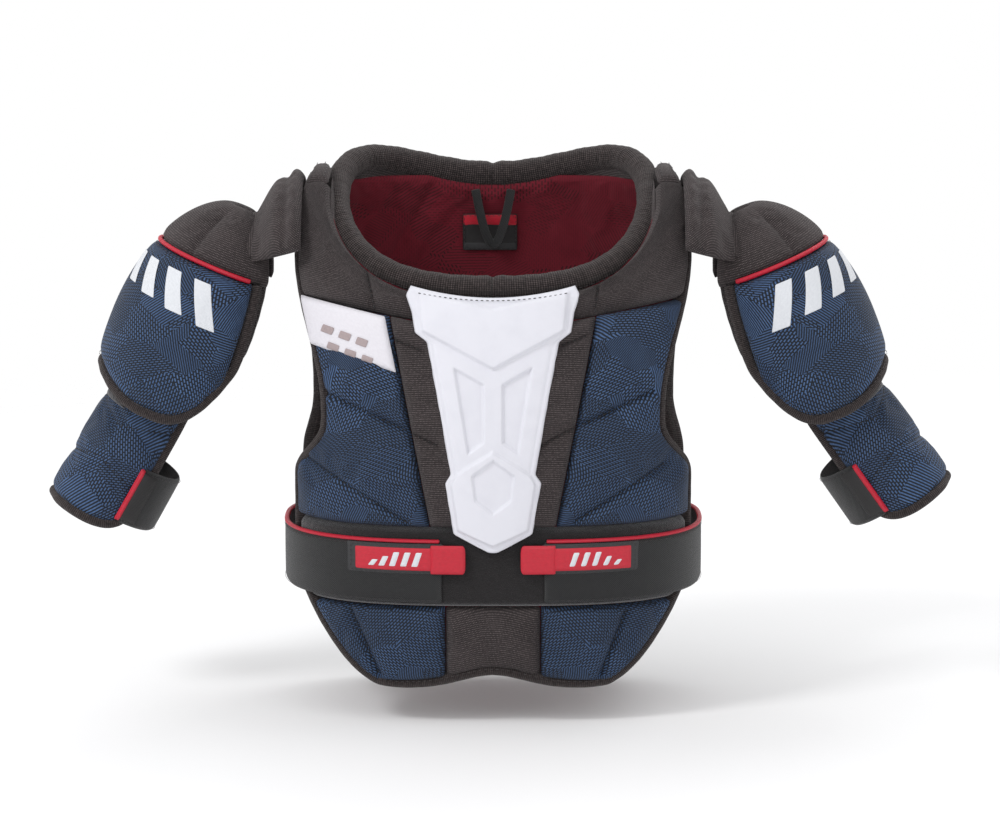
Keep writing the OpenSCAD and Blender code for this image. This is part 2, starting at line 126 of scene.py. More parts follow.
def reach(t, power):
    return (np.abs(cosd(t)) ** power + np.abs(sind(t)) ** power) ** (-1 / power)


# ---- The body form, by angle round the body and height along its skin --------------------------------
def is_back(angle):
    return cosd(angle) < 0


def top_of(angle):
    nape = NAPE_RISE * (1 - ease((np.abs(TORSO_HALF_W * sind(angle)) - 60) / 85))
    return np.where(is_back(angle), RIDGE_Z + nape, RIDGE_Z)


def power_of(angle):
    return np.where(is_back(angle), BACK_POWER, DOME_POWER)


def skin_h(z, angle=0.0):
    rise = np.clip((z - CHEST_Z) / (top_of(angle) - CHEST_Z), 0, 1)
    power = power_of(angle)
    over = np.degrees(np.arctan2(rise, (1 - rise ** power) ** (1 / power)))
    return np.where(z <= CHEST_Z, z, CHEST_Z + DOME_ARC / 90 * over)


def skin(angle, h):
    t = np.clip(90 * (h - CHEST_Z) / DOME_ARC, 0, 90)
    power = power_of(angle)
    z = np.where(h <= CHEST_Z, h, CHEST_Z + (top_of(angle) - CHEST_Z) * reach(t, power) * sind(t))
    full = np.where(is_back(angle), BACK_DEPTH, FRONT_DEPTH)
    low = full - HEM_TAPER * ((CHEST_Z - np.minimum(h, CHEST_Z)) / CHEST_Z) ** 2
    depth = np.where(h <= CHEST_Z, low, full * reach(t, power) * cosd(t))
    bulge = np.maximum(0, 1 - np.abs(sind(angle)) ** FORM_POWER) ** (1 / FORM_POWER)
    sign = np.where(is_back(angle), -1, 1)
    return stack(TORSO_HALF_W * sind(angle), RIDGE_Y - sign * depth * bulge, z)


def skin_normal(angle, h):
    step = 0.5
    top = np.minimum(h + step, CHEST_Z + DOME_ARC)
    across = skin(angle + step, h) - skin(angle - step, h)
    up = skin(angle, top) - skin(angle, h - step)
    return unit(np.cross(across, up))


def torso(angle, h, d):
    return skin(angle, h) + np.asarray(d)[..., None] * skin_normal(angle, h)


def front_angle(x):
    return np.degrees(np.arcsin(np.clip(x / OUTLINE_W, -1, 1)))


def front_skin(x, z, d):
    angle = front_angle(x)
    return torso(angle, skin_h(z, angle), d)


def back_skin(x, z, d):
    angle = 180 - front_angle(x)
    return torso(angle, skin_h(z, angle), d)


# ---- Outlines in the front view ----------------------------------------------------------------------
def front_edge(z):
    low = 85 + 80 * np.sqrt(np.maximum(z, 0) / 90)
    high = 165 - 22 * ease((z - 172) / 42) + 22 * ease((z - 225) / 120)
    return np.where(z < 89, low, high)


def back_edge(z):
    low = 120 + 44 * np.sqrt(np.maximum(z, 0) / 60)
    high = 164 - 8 * ease((z - 172) / 42) + 8 * ease((z - 225) / 120)
    return np.where(z < 60, low, high)


def side_of(edge, z, inset):
    slope = (edge(z + 1) - edge(z - 1)) / 2
    return edge(z) - inset * np.sqrt(1 + np.minimum(slope * slope, 8))


def hem(x):
    return 12 * np.exp(-((x / 40) ** 2))


def collar_z(t):
    return 376 - 46 * cosd(t) - 15 * cosd(2 * t) + 8 * cosd(3 * t)


def collar(t):
    x = sind(t) * reach(t, 2.6)
    at = np.degrees(np.arcsin(np.clip(np.abs(x), 0, 1)))
    at = np.where(cosd(t) > 0, at, 180 - at)
    return stack(NECK_HALF_W * x, 8 - 87 * cosd(t) * reach(t, 2.6), collar_z(at))


def neck_line(x, back):
    at = np.degrees(np.arcsin(np.clip(np.abs(x) / NECK_EDGE, 0, 1)))
    at = 180 - at if back else at
    return collar_z(at) - (COLLAR_R + (7 if back else 2)) * np.abs(cosd(at))


# ---- Meshes ------------------------------------------------------------------------------------------
def make_piece(name, points, faces, body, material, stands_for=(), uv=None):
    """A mesh from points in millimetres, riding on a body."""
    mesh = bpy.data.meshes.new(name)
    mesh.from_pydata((np.asarray(points) * MM).tolist(), [], faces)
    if uv is not None:
        layer = mesh.uv_layers.new(name="cloth")
        index = np.zeros(len(mesh.loops), dtype=int)
        mesh.loops.foreach_get("vertex_index", index)
        layer.data.foreach_set("uv", np.asarray(uv)[index].astype(np.float32).ravel())
    bm = bmesh.new()
    bm.from_mesh(mesh)
    bmesh.ops.recalc_face_normals(bm, faces=bm.faces)
    bm.to_mesh(mesh)
    bm.free()
    mesh.polygons.foreach_set("use_smooth", [True] * len(mesh.polygons))
    piece = bpy.data.objects.new(name, mesh)
    scene.collection.objects.link(piece)
    mesh.materials.append(material)
    if stands_for:
        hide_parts(*stands_for)
    if body:
        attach(piece, body)
    return piece


def grid_faces(nu, nv):
    """Faces of a closed sheet: the inner grid's points come first, then the outer grid's."""
    size = (nu + 1) * (nv + 1)

    def at(i, j, w):
        return w * size + j * (nu + 1) + i

    faces = []
    for j in range(nv):
        for i in range(nu):
            faces.append((at(i, j, 1), at(i + 1, j, 1), at(i + 1, j + 1, 1), at(i, j + 1, 1)))
            faces.append((at(i, j, 0), at(i, j + 1, 0), at(i + 1, j + 1, 0), at(i + 1, j, 0)))
    for i in range(nu):
        faces.append((at(i, 0, 0), at(i + 1, 0, 0), at(i + 1, 0, 1), at(i, 0, 1)))
        faces.append((at(i, nv, 0), at(i, nv, 1), at(i + 1, nv, 1), at(i + 1, nv, 0)))
    for j in range(nv):
        faces.append((at(0, j, 0), at(0, j, 1), at(0, j + 1, 1), at(0, j + 1, 0)))
        faces.append((at(nu, j, 0), at(nu, j + 1, 0), at(nu, j + 1, 1), at(nu, j, 1)))
    return faces


def line_distance(x, z, line):
    """Distance from chart points to a seam, a list of chart points."""
    best = np.full(x.shape, 1e9)
    for (ax, az), (bx, bz) in zip(line[:-1], line[1:]):
        dx, dz = bx - ax, bz - az
        t = np.clip(((x - ax) * dx + (z - az) * dz) / (dx * dx + dz * dz), 0, 1)
        best = np.minimum(best, np.hypot(x - ax - t * dx, z - az - t * dz))
    return best


def wander(x, z, scale, seed):
    """Smooth noise in the chart, from -1 to 1: the slow unevenness of sewn foam."""
    phase = np.random.default_rng(seed).uniform(0, 6.28, 6)
    a = np.sin(x / scale + phase[0] + 1.3 * np.sin(z / scale * 0.7 + phase[1]))
    b = np.sin(z / scale * 1.2 + phase[2] + 1.1 * np.sin(x / scale * 0.8 + phase[3]))
    c = np.sin((x + z) / scale * 1.9 + phase[4])
    return (a + b + 0.6 * c) / 2.6


cloth_jobs = []


def pad(name, chart, surface, low, face, body, material, slot, stands_for=(), seams=(), cell=4.0,
        puff=2.0, edge=5.0, groove=3.6, cloth=True, fill=0.6, scale=(1.0, 1.0), width=6.0):
    """A padded panel. chart(u, v) gives its chart points, surface(x, z, depth) their place.
    Its worked face lies at depth face, and low is the plain one. seams are lines in the chart."""
    u, v = np.meshgrid(np.linspace(0, 1, 9), np.linspace(0, 1, 9))
    x, z = chart(u, v)
    rough = surface(x, z, np.full(x.shape, float(face)))
    nu = int(np.clip(np.linalg.norm(np.diff(rough, axis=1), axis=-1).sum(1).max() / cell, 4, 120))
    nv = int(np.clip(np.linalg.norm(np.diff(rough, axis=0), axis=-1).sum(0).max() / cell, 4, 120))
    u, v = np.meshgrid(np.linspace(0, 1, nu + 1), np.linspace(0, 1, nv + 1))
    x, z = chart(u, v)
    base = surface(x, z, np.full(x.shape, float(face)))
    step_u = np.linalg.norm(np.diff(base, axis=1), axis=-1)
    step_v = np.linalg.norm(np.diff(base, axis=0), axis=-1)
    along_u = np.pad(np.cumsum(step_u, axis=1), ((0, 0), (1, 0)))
    along_v = np.pad(np.cumsum(step_v, axis=0), ((1, 0), (0, 0)))
    rim = np.minimum(np.minimum(along_u, along_u[:, -1:] - along_u),
                     np.minimum(along_v, along_v[-1:, :] - along_v))
    seam = np.full(x.shape, 1e9)
    for line in seams:
        seam = np.minimum(seam, line_distance(x * scale[0], z * scale[1],
                                              [(a * scale[0], b * scale[1]) for a, b in line]))
    roll = np.sqrt(np.maximum(0, 1 - (1 - np.clip(rim / edge, 0, 1)) ** 2))
    swell = puff * (1 - np.exp(-np.minimum(seam, rim) / width)) + 0.25 * wander(x, z, 23, len(name))
    pucker = 0.35 * np.exp(-((seam - 4) / 4) ** 2) * np.sin((along_u + along_v) / 2.6)
    lift = swell + pucker - groove * np.exp(-((seam / 2.2) ** 2))
    sign = 1 if face > low else -1
    depth = low + (face - low) * (0.25 + 0.75 * roll) + sign * lift * roll
    points = np.concatenate([surface(x, z, np.full(x.shape, float(low))).reshape(-1, 3),
                             surface(x, z, depth).reshape(-1, 3)])
    uv = np.stack([along_u - along_u[:, -1:] / 2, along_v], axis=-1).reshape(-1, 2)
    piece = make_piece(name, points, grid_faces(nu, nv), body, material, stands_for,
                       np.concatenate([uv, uv]))
    smooth_out(piece)
    if cloth:
        sew(body, seams, surface, x, z, face, sign)
        hold = np.maximum(np.exp(-((seam / 3.5) ** 2)), np.exp(-((rim / 4) ** 2))).ravel()
        cloth_jobs.append((piece, np.concatenate([np.ones(hold.size), hold])))
    return piece


def sew(body, seams, surface, x, z, face, sign):
    """Stitches along those parts of a panel's seams that lie on the panel."""
    outline = [*zip(x[0], z[0]), *zip(x[1:, -1], z[1:, -1]), *zip(x[-1, -2::-1], z[-1, -2::-1]),
               *zip(x[-2:0:-1, 0], z[-2:0:-1, 0])]
    for line in seams:
        path = resample(line, 1.0)
        inside = outline_depth(path[:, 0], path[:, 1], outline) > 0
        path = path[inside]
        if len(path) > 8:
            low = surface(path[:, 0], path[:, 1], np.full(len(path), face - sign * 1.2))
            high = surface(path[:, 0], path[:, 1], np.full(len(path), float(face)))
            stitch(body, low, high - low, 3.2, 1.4, 0.5, "black")


def smooth_out(piece, levels=1):
    modifier = piece.modifiers.new("rounding", "SUBSURF")
    modifier.levels = modifier.render_levels = levels
    modifier.boundary_smooth = "PRESERVE_CORNERS"


def inflate_all(frames=12, slack=0.025, limit=1.4):
    """Blows every padded panel up between its pinned seams, as cloth, and keeps the result."""
    for piece, hold in cloth_jobs:
        group = piece.vertex_groups.new(name="pins")
        levels = np.round(hold * 8).astype(int)
        for level in range(1, 9):
            group.add(np.flatnonzero(levels == level).tolist(), level / 8, "REPLACE")
        piece.modifiers["rounding"].show_viewport = False
        cloth = piece.modifiers.new("cloth", "CLOTH")
        cloth.settings.vertex_group_mass = "pins"
        cloth.settings.quality = 4
        cloth.settings.mass = 0.2
        cloth.settings.tension_stiffness = 12
        cloth.settings.compression_stiffness = 12
        cloth.settings.bending_stiffness = 0.4
        cloth.settings.use_pressure = True
        cloth.settings.uniform_pressure_force = 4
        cloth.settings.shrink_min = -slack
        cloth.settings.effector_weights.gravity = 0
        cloth.point_cache.frame_end = frames
    for number in range(1, frames + 1):
        scene.frame_set(number)
    graph = bpy.context.evaluated_depsgraph_get()
    moved = {}
    for piece, hold in cloth_jobs:
        mesh = piece.evaluated_get(graph).data
        co = np.zeros(len(mesh.vertices) * 3)
        mesh.vertices.foreach_get("co", co)
        moved[piece.name] = co
    for piece, hold in cloth_jobs:
        start = np.zeros(len(piece.data.vertices) * 3)
        piece.data.vertices.foreach_get("co", start)
        shift = (moved[piece.name] - start).reshape(-1, 3)
        length = np.linalg.norm(shift, axis=1, keepdims=True)
        shift *= np.minimum(1, limit * MM / np.maximum(length, 1e-9)) * (1 - hold[:, None])
        piece.modifiers.remove(piece.modifiers["cloth"])
        piece.vertex_groups.clear()
        piece.data.vertices.foreach_set("co", start + shift.ravel())
        piece.modifiers["rounding"].show_viewport = True
        piece.data.update()
    scene.frame_set(1)


settle_jobs = []


def settle_all():
    """Lays every printed mark on the finished face of the piece that it is printed on."""
    graph = bpy.context.evaluated_depsgraph_get()
    trees = {}
    for mark, host, thick in settle_jobs:
        if host.name not in trees:
            trees[host.name] = BVHTree.FromObject(host, graph)
        half = len(mark.data.vertices) // 2
        for point in mark.data.vertices:
            place, normal, _, _ = trees[host.name].find_nearest(point.co)
            lift = 0.15 if point.index < half else 0.15 + thick
            point.co = place + normal * lift * MM
        mark.data.update()


def resample(path, step, closed=False, smoothing=0):
    """The same line with points evenly spaced."""
    path = np.asarray(path, float)
    if closed:
        path = np.vstack([path, path[:1]])
    run = np.concatenate([[0], np.cumsum(np.linalg.norm(np.diff(path, axis=0), axis=1))])
    count = max(4, int(run[-1] / step))
    at = np.linspace(0, run[-1], count + 1)
    out = np.stack([np.interp(at, run, path[:, k]) for k in range(path.shape[1])], axis=1)
    if closed:
        out = out[:-1]
    for _ in range(smoothing):
        if closed:
            out = (np.roll(out, 1, 0) + 2 * out + np.roll(out, -1, 0)) / 4
        else:
            out[1:-1] = (out[:-2] + 2 * out[1:-1] + out[2:]) / 4
    return out


def sweep(path, ups, section, closed=False):
    """Points and faces of a section, a list of (across, up) offsets or one per point, along a path."""
    path, ups = np.asarray(path, float), np.asarray(ups, float)
    n = len(path)
    if closed:
        along = unit(np.roll(path, -1, 0) - np.roll(path, 1, 0))
    else:
        along = unit(np.gradient(path, axis=0))
    across = unit(np.cross(along, ups))
    up = np.cross(across, along)
    section = np.asarray(section, float)
    if section.ndim == 2:
        section = np.broadcast_to(section, (n,) + section.shape)
    k = section.shape[1]
    points = path[:, None] + across[:, None] * section[..., :1] + up[:, None] * section[..., 1:]
    points = points.reshape(-1, 3)
    faces = []
    for i in range(n if closed else n - 1):
        j = (i + 1) % n
        for c in range(k):
            d = (c + 1) % k
            faces.append((i * k + c, i * k + d, j * k + d, j * k + c))
    if not closed:
        faces.append(tuple(range(k)))
        faces.append(tuple((n - 1) * k + c for c in range(k - 1, -1, -1)))
    run = np.concatenate([[0], np.cumsum(np.linalg.norm(np.diff(path, axis=0), axis=1))])
    girth = np.linspace(0, 1, k) * 2 * np.pi * np.abs(section[0]).max()
    uv = np.stack(np.meshgrid(run, girth, indexing="ij"), axis=-1).reshape(-1, 2)
    return points, faces, uv


def oval(half_w, half_t, sides=14, power=2.6):
    t = np.linspace(0, 360, sides, endpoint=False)
    r = reach(t, power)
    return np.stack([half_w * r * cosd(t), half_t * r * sind(t)], axis=1)


def tube(name, path, ups, section, body, material, stands_for=(), closed=False):
    points, faces, uv = sweep(path, ups, section, closed)
    piece = make_piece(name, points, faces, body, material, stands_for, uv)
    smooth_out(piece)
    return piece


stitch_runs = {}


def stitch(body, path, ups, length=3.0, gap=2.2, radius=0.35, colour="dark"):
    """Adds a row of stitches along a path, to be made as one piece per body and colour."""
    path = np.asarray(path, float)
    run = np.concatenate([[0], np.cumsum(np.linalg.norm(np.diff(path, axis=0), axis=1))])
    at = np.arange(gap, run[-1] - length, length + gap)
    if not len(at):
        return

    def place(values, table):
        return np.stack([np.interp(values, run, table[:, k]) for k in range(3)], axis=1)

    start, end = place(at, path), place(at + length, path)
    up = unit(place(at + length / 2, np.asarray(ups, float)))
    along = unit(end - start)
    across = np.cross(along, up)
    middle = (start + end) / 2
    base = stitch_runs.setdefault((body, colour), [[], []])
    count = sum(len(p) for p in base[0])
    rings = [(-0.5, 0.2, -0.3), (-0.28, 1.0, 0.5), (0.28, 1.0, 0.5), (0.5, 0.2, -0.3)]
    corners = [(1, 0), (0.5, 0.8), (-0.5, 0.8), (-1, 0), (0, -0.6)]
    points = []
    for share, size, rise in rings:
        for a, b in corners:
            points.append(middle + along * share * length + across * a * size * radius
                          + up * (b * size + rise) * radius)
    points = np.stack(points, axis=1)
    k = len(corners)
    local = []
    for r in range(len(rings) - 1):
        for c in range(k):
            local.append((r * k + c, r * k + (c + 1) % k, (r + 1) * k + (c + 1) % k, (r + 1) * k + c))
    local.append(tuple(range(k)))
    local.append(tuple(len(rings) * k - 1 - c for c in range(k)))
    base[0].append(points.reshape(-1, 3))
    each = points.shape[1]
    for s in range(len(points)):
        base[1].extend(tuple(count + s * each + c for c in f) for f in local)


def make_stitches():
    for (body, colour), (points, faces) in stitch_runs.items():
        name = "stitches_" + colour + "_" + body
        make_piece(name, np.concatenate(points), faces, body, STITCH_COLOURS[colour])


# ---- Materials: every one is made of nodes, in object space or in the piece's own cloth chart --------
class Look:
    """A material under construction: short calls that add nodes and join them."""

    def __init__(self, name, roughness=0.8, specular=0.3, sheen=0.0, sheen_tint=(1, 1, 1), coat=0.0):
        self.material = bpy.data.materials.new(name)
        self.material.use_nodes = True
        self.nodes = self.material.node_tree.nodes
        self.links = self.material.node_tree.links
        self.shader = self.nodes["Principled BSDF"]
        self.shader.inputs["Roughness"].default_value = roughness
        self.shader.inputs["Specular IOR Level"].default_value = specular
        self.shader.inputs["Sheen Weight"].default_value = sheen
        self.shader.inputs["Sheen Roughness"].default_value = 0.5
        self.shader.inputs["Sheen Tint"].default_value = (*sheen_tint, 1)
        self.shader.inputs["Coat Weight"].default_value = coat
        where = self.nodes.new("ShaderNodeTexCoord")
        self.object = where.outputs["Object"]
        self.uv = where.outputs["UV"]

    def node(self, kind, inputs=(), **settings):
        node = self.nodes.new("ShaderNode" + kind)
        for key, value in settings.items():
            setattr(node, key, value)
        for key, value in dict(inputs).items():
            socket = node.inputs[key]
            if isinstance(value, bpy.types.NodeSocket):
                self.links.new(value, socket)
            else:
                socket.default_value = value
        return node

    def math(self, operation, *values, clamp=False):
        return self.node("Math", dict(enumerate(values)), operation=operation, use_clamp=clamp).outputs[0]

    def noise(self, at, scale, detail=2.0, roughness=0.5):
        node = self.node("TexNoise", {"Vector": at, "Scale": scale, "Detail": detail, "Roughness": roughness})
        return node.outputs["Fac"]

    def mix(self, share, a, b):
        node = self.node("Mix", data_type="RGBA")
        for socket, value in ((node.inputs[0], share), (node.inputs[6], a), (node.inputs[7], b)):
            if isinstance(value, bpy.types.NodeSocket):
                self.links.new(value, socket)
            else:
                socket.default_value = value if isinstance(value, float) else (*value, 1)
        return node.outputs[2]

    def ramp(self, value, low, high):
        node = self.node("MapRange", {0: value, 1: low, 2: high, 3: 0.0, 4: 1.0}, clamp=True)
        return node.outputs[0]

    def bump(self, height, distance, strength=1.0, after=None):
        inputs = {"Height": height, "Distance": distance, "Strength": strength}
        if after is not None:
            inputs["Normal"] = after
        return self.node("Bump", inputs).outputs["Normal"]

    def finish(self, colour, normal=None, roughness=None):
        self.links.new(colour, self.shader.inputs["Base Color"])
        if normal is not None:
            self.links.new(normal, self.shader.inputs["Normal"])
        if roughness is not None:
            self.links.new(roughness, self.shader.inputs["Roughness"])
        return self.material


def rgb(code):
    """A colour written as in a paint chart, made linear for the shader."""
    parts = [int(code[i:i + 2], 16) / 255 for i in (0, 2, 4)]
    return tuple(p / 12.92 if p < 0.04045 else ((p + 0.055) / 1.055) ** 2.4 for p in parts)


def printed_fabric(name, ground, line, other, cell, pitch, strength, roughness=0.62, lowest=0.4):
    """Woven cloth in patches of fine parallel lines, dashed or whole, each patch at its own slant."""
    look = Look(name, roughness, specular=0.25, sheen=0.06)
    at = look.uv
    warp = look.node("Mapping", {"Vector": at, "Rotation": (0, 0, 0.5), "Scale": (1.0, 1.5, 1.0)}).outputs[0]
    patch = look.node("TexVoronoi", {"Vector": warp, "Scale": 1 / cell, "Randomness": 0.85},
                      feature="F1", distance="CHEBYCHEV")
    shade = look.node("SeparateColor", {"Color": patch.outputs["Color"]}).outputs
    turn = look.math("MULTIPLY", look.math("ROUND", look.math("MULTIPLY", shade[0], 6.0)), math.pi / 6)
    turned = look.node("VectorRotate", {"Vector": at, "Angle": turn}, rotation_type="Z_AXIS").outputs[0]
    parts = look.node("SeparateXYZ", {"Vector": turned}).outputs
    spacing = look.math("ADD", look.math("MULTIPLY", shade[1], pitch * 0.35), pitch * 0.8)
    row = look.math("DIVIDE", parts[1], spacing)
    wave = look.math("ABSOLUTE", look.math("SUBTRACT", look.math("FRACT", row), 0.5))
    stripe = look.math("SUBTRACT", 1.0, look.ramp(wave, 0.14, 0.30))
    stagger = look.math("MULTIPLY", look.math("FLOOR", row), 0.5)
    dash = look.math("FRACT", look.math("ADD", look.math("DIVIDE", parts[0], pitch * 1.9), stagger))
    gap = look.math("ABSOLUTE", look.math("SUBTRACT", dash, 0.5))
    dashes = look.math("SUBTRACT", 1.0, look.ramp(gap, 0.28, 0.40))
    whole = look.math("GREATER_THAN", shade[2], 0.62)
    on = look.math("MAXIMUM", dashes, look.math("MULTIPLY", whole, 0.8))
    level = look.math("ADD", lowest, look.math("MULTIPLY", shade[1], 1 - lowest))
    bright = look.math("MULTIPLY", look.math("MULTIPLY", stripe, on), look.math("MULTIPLY", level, strength))
    ink = look.mix(look.noise(at, 0.06), line, other)
    tint = look.math("ADD", look.math("MULTIPLY", look.noise(at, 0.9, 3.0), 0.4),
                     look.math("MULTIPLY", shade[0], 0.25))
    base = look.mix(tint, ground, tuple(min(1, c * 1.6) for c in ground))
    colour = look.mix(bright, base, ink)
    weave = look.math("MULTIPLY", look.math("SINE", look.math("MULTIPLY", parts[0], 7.0)),
                      look.math("SINE", look.math("MULTIPLY", parts[1], 7.0)))
    height = look.math("ADD", look.math("MULTIPLY", weave, 0.35), look.math("MULTIPLY", bright, 0.7))
    return look.finish(colour, look.bump(height, 0.0004, 0.6))


def knit_fabric(name, dark, light, pitch=1.15, roughness=0.85, depth=0.0005):
    """Stretch knit: a fine lattice of loops that catch the light, over a slow change of tone."""
    look = Look(name, roughness, specular=0.2, sheen=0.12, sheen_tint=(0.9, 0.85, 0.85))
    parts = look.node("SeparateXYZ", {"Vector": look.uv}).outputs
    slant = look.math("ADD", parts[0], look.math("MULTIPLY", parts[1], 0.55))
    column = look.math("SINE", look.math("MULTIPLY", slant, 2 * math.pi / pitch))
    loop = look.math("SINE", look.math("MULTIPLY", parts[1], 2 * math.pi / (pitch * 1.5)))
    height = look.math("ADD", look.math("MULTIPLY", column, 0.3), look.math("MULTIPLY", loop, 0.2))
    lattice = look.ramp(look.math("ADD", column, loop), 0.5, 1.8)
    glint = look.ramp(look.noise(look.uv, 0.55, 2.0), 0.38, 0.68)
    broad = look.noise(look.uv, 0.04, 3.0)
    tone = look.math("ADD", look.math("MULTIPLY", lattice, look.math("ADD", 0.25, glint)),
                     look.math("MULTIPLY", broad, 0.22), clamp=True)
    return look.finish(look.mix(tone, dark, light), look.bump(height, depth, 0.8))


def ribbed_fabric(name, dark, light, pitch=1.5):
    """Knit tape with ribs along it and cross threads, as round the edges and the collar."""
    look = Look(name, 0.9, specular=0.18, sheen=0.15, sheen_tint=(0.9, 0.85, 0.85))
    parts = look.node("SeparateXYZ", {"Vector": look.uv}).outputs
    rib = look.math("SINE", look.math("MULTIPLY", parts[0], 2 * math.pi / pitch))
    fine = look.math("SINE", look.math("MULTIPLY", parts[1], 2 * math.pi / (pitch * 0.8)))
    height = look.math("ADD", look.math("MULTIPLY", rib, 0.5), look.math("MULTIPLY", fine, 0.3))
    wear = look.ramp(look.noise(look.uv, 0.3, 4.0), 0.3, 0.75)
    tone = look.math("MULTIPLY", look.ramp(look.math("ADD", rib, fine), -0.6, 1.6),
                     look.math("ADD", 0.2, wear), clamp=True)
    return look.finish(look.mix(tone, dark, light), look.bump(height, 0.0006, 0.8))


def twill_webbing(name, dark, light, pitch=1.6, slope=1.0):
    """Woven elastic: a diagonal twill."""
    look = Look(name, 0.55, specular=0.35, sheen=0.15)
    parts = look.node("SeparateXYZ", {"Vector": look.uv})
    run = look.math("ADD", parts.outputs[0], look.math("MULTIPLY", parts.outputs[1], slope))
    rib = look.math("SINE", look.math("MULTIPLY", run, TURN / pitch))
    thread = look.math("SINE", look.math("MULTIPLY", parts.outputs[0], TURN / (pitch * 0.45)))
    height = look.math("ADD", look.math("MULTIPLY", rib, 0.6), look.math("MULTIPLY", thread, 0.15))
    tone = look.math("MULTIPLY", look.ramp(rib, -0.6, 1.0),
                     look.math("ADD", 0.4, look.noise(look.uv, 0.3, 3.0)), clamp=True)
    return look.finish(look.mix(tone, dark, light), look.bump(height, 0.0006, 0.8))


def brushed_loop(name, dark, light):
    """The loop side of hook-and-loop tape: short curly pile."""
    look = Look(name, 0.95, specular=0.12, sheen=0.7, sheen_tint=(0.7, 0.7, 0.72))
    curl = look.noise(look.uv, 1.5, 5.0, 0.7)
    clump = look.noise(look.uv, 0.22, 3.0, 0.6)
    height = look.math("ADD", look.math("MULTIPLY", curl, 0.8), look.math("MULTIPLY", clump, 0.7))
    tone = look.math("MULTIPLY", look.ramp(curl, 0.42, 0.75), look.math("ADD", 0.35, clump), clamp=True)
    return look.finish(look.mix(tone, dark, light), look.bump(height, 0.0009, 0.9))


def moulded_plastic(name, colour, shade, grain=0.9, roughness=0.38, texture=True, spec=0.45):
    """Satin plastic with a fine raised grid and slight scuffs."""
    look = Look(name, roughness, specular=spec, coat=0.08)
    scuff = look.noise(look.object, 60.0, 4.0)
    tone = look.math("MULTIPLY", look.ramp(scuff, 0.45, 0.8), 0.35)
    rough = look.math("ADD", roughness - 0.06, look.math("MULTIPLY", scuff, 0.16))
    normal = None
    if texture:
        parts = look.node("SeparateXYZ", {"Vector": look.uv})
        across = look.math("SINE", look.math("MULTIPLY", parts.outputs[0], TURN / grain))
        up = look.math("SINE", look.math("MULTIPLY", parts.outputs[1], TURN / grain))
        normal = look.bump(look.math("MULTIPLY", across, up), 0.00025, 0.5)
    return look.finish(look.mix(tone, colour, shade), normal, rough)


def satin_tape(name, colour, shade, pitch=0.7):
    """Narrow woven tape or piping, with cross threads."""
    look = Look(name, 0.42, specular=0.5, sheen=0.2, sheen_tint=colour)
    parts = look.node("SeparateXYZ", {"Vector": look.uv})
    thread = look.math("SINE", look.math("MULTIPLY", parts.outputs[0], TURN / pitch))
    weft = look.math("SINE", look.math("MULTIPLY", parts.outputs[1], TURN / (pitch * 1.4)))
    tone = look.math("MULTIPLY", look.noise(look.uv, 0.4, 3.0), look.ramp(thread, -1.5, 1.0), clamp=True)
    height = look.math("ADD", look.math("MULTIPLY", thread, 0.5), look.math("MULTIPLY", weft, 0.3))
    return look.finish(look.mix(tone, shade, colour), look.bump(height, 0.0003, 0.6))


BLUE = printed_fabric("printed_blue_cloth", rgb("11161f"), rgb("5c7ba8"), rgb("3c5884"),
                      38.0, 2.1, 0.85, 0.7, 0.55)
BLACK = knit_fabric("black_knit", rgb("171314"), rgb("746a6a"))
LINING = printed_fabric("red_lining", rgb("5e0c1c"), rgb("0d0506"), rgb("1d0d11"), 40.0, 2.4, 0.85, 0.8, 0.3)
BINDING = ribbed_fabric("binding_tape", rgb("191515"), rgb("5f5554"))
COLLAR = ribbed_fabric("collar_knit", rgb("1b1717"), rgb("5c5251"), 1.9)
WEBBING = twill_webbing("elastic_webbing", rgb("070708"), rgb("2a2b2d"))
LOOP = brushed_loop("loop_pile", rgb("070606"), rgb("3a3536"))
HOOK = moulded_plastic("hook_tape", rgb("47474a"), rgb("2c2c2e"), 1.4, 0.6, True, 0.25)
PLATE = moulded_plastic("plate_white", rgb("dedee6"), rgb("cfcfd8"), 1.1, 0.34, True, 0.45)
CUP = moulded_plastic("cup_plastic", rgb("b9b9bd"), rgb("98989d"), 2.0, 0.5, False)
RED_TAPE = satin_tape("red_tape", rgb("e61238"), rgb("9c0a24"))
RED_LABEL = satin_tape("red_label", rgb("d81c36"), rgb("b01028"), 0.9)
WHITE_TAPE = satin_tape("white_print", rgb("eef0f4"), rgb("cfd2d8"), 0.8)
PATCH_PRINT = satin_tape("patch_print", rgb("eceaf0"), rgb("d8d5dc"), 0.9)
PALE_PRINT = satin_tape("pale_print", rgb("b7a7a7"), rgb("9c8d8e"), 0.8)
GREY_TAPE = satin_tape("grey_tape", rgb("3a3a3d"), rgb("222224"), 0.8)
BLACK_TAPE = satin_tape("black_tape", rgb("2a2829"), rgb("121112"), 0.8)
DARK_THREAD = satin_tape("dark_thread", rgb("4a4446"), rgb("1c191a"), 0.4)
BLACK_THREAD = satin_tape("black_thread", rgb("141214"), rgb("060506"), 0.4)
PALE_THREAD = satin_tape("pale_thread", rgb("c9c9d2"), rgb("9a9aa4"), 0.4)
STITCH_COLOURS = {"dark": DARK_THREAD, "black": BLACK_THREAD, "pale": PALE_THREAD}


# ---- Front of the vest -------------------------------------------------------------------------------
EDGE_INSET = 4.5     # the pads' edges lie under the binding
SEAM = 0.2


def between(outer, inner):
    """A chart from two edges, each a function of v that returns x and z."""
    def chart(u, v):
        (ax, az), (bx, bz) = outer(v), inner(v)
        return mix(ax, bx, u), mix(az, bz, u)
    return chart


def skin_z(h, angle=0.0):
    return skin(np.asarray(angle, float), np.asarray(h, float))[..., 2]


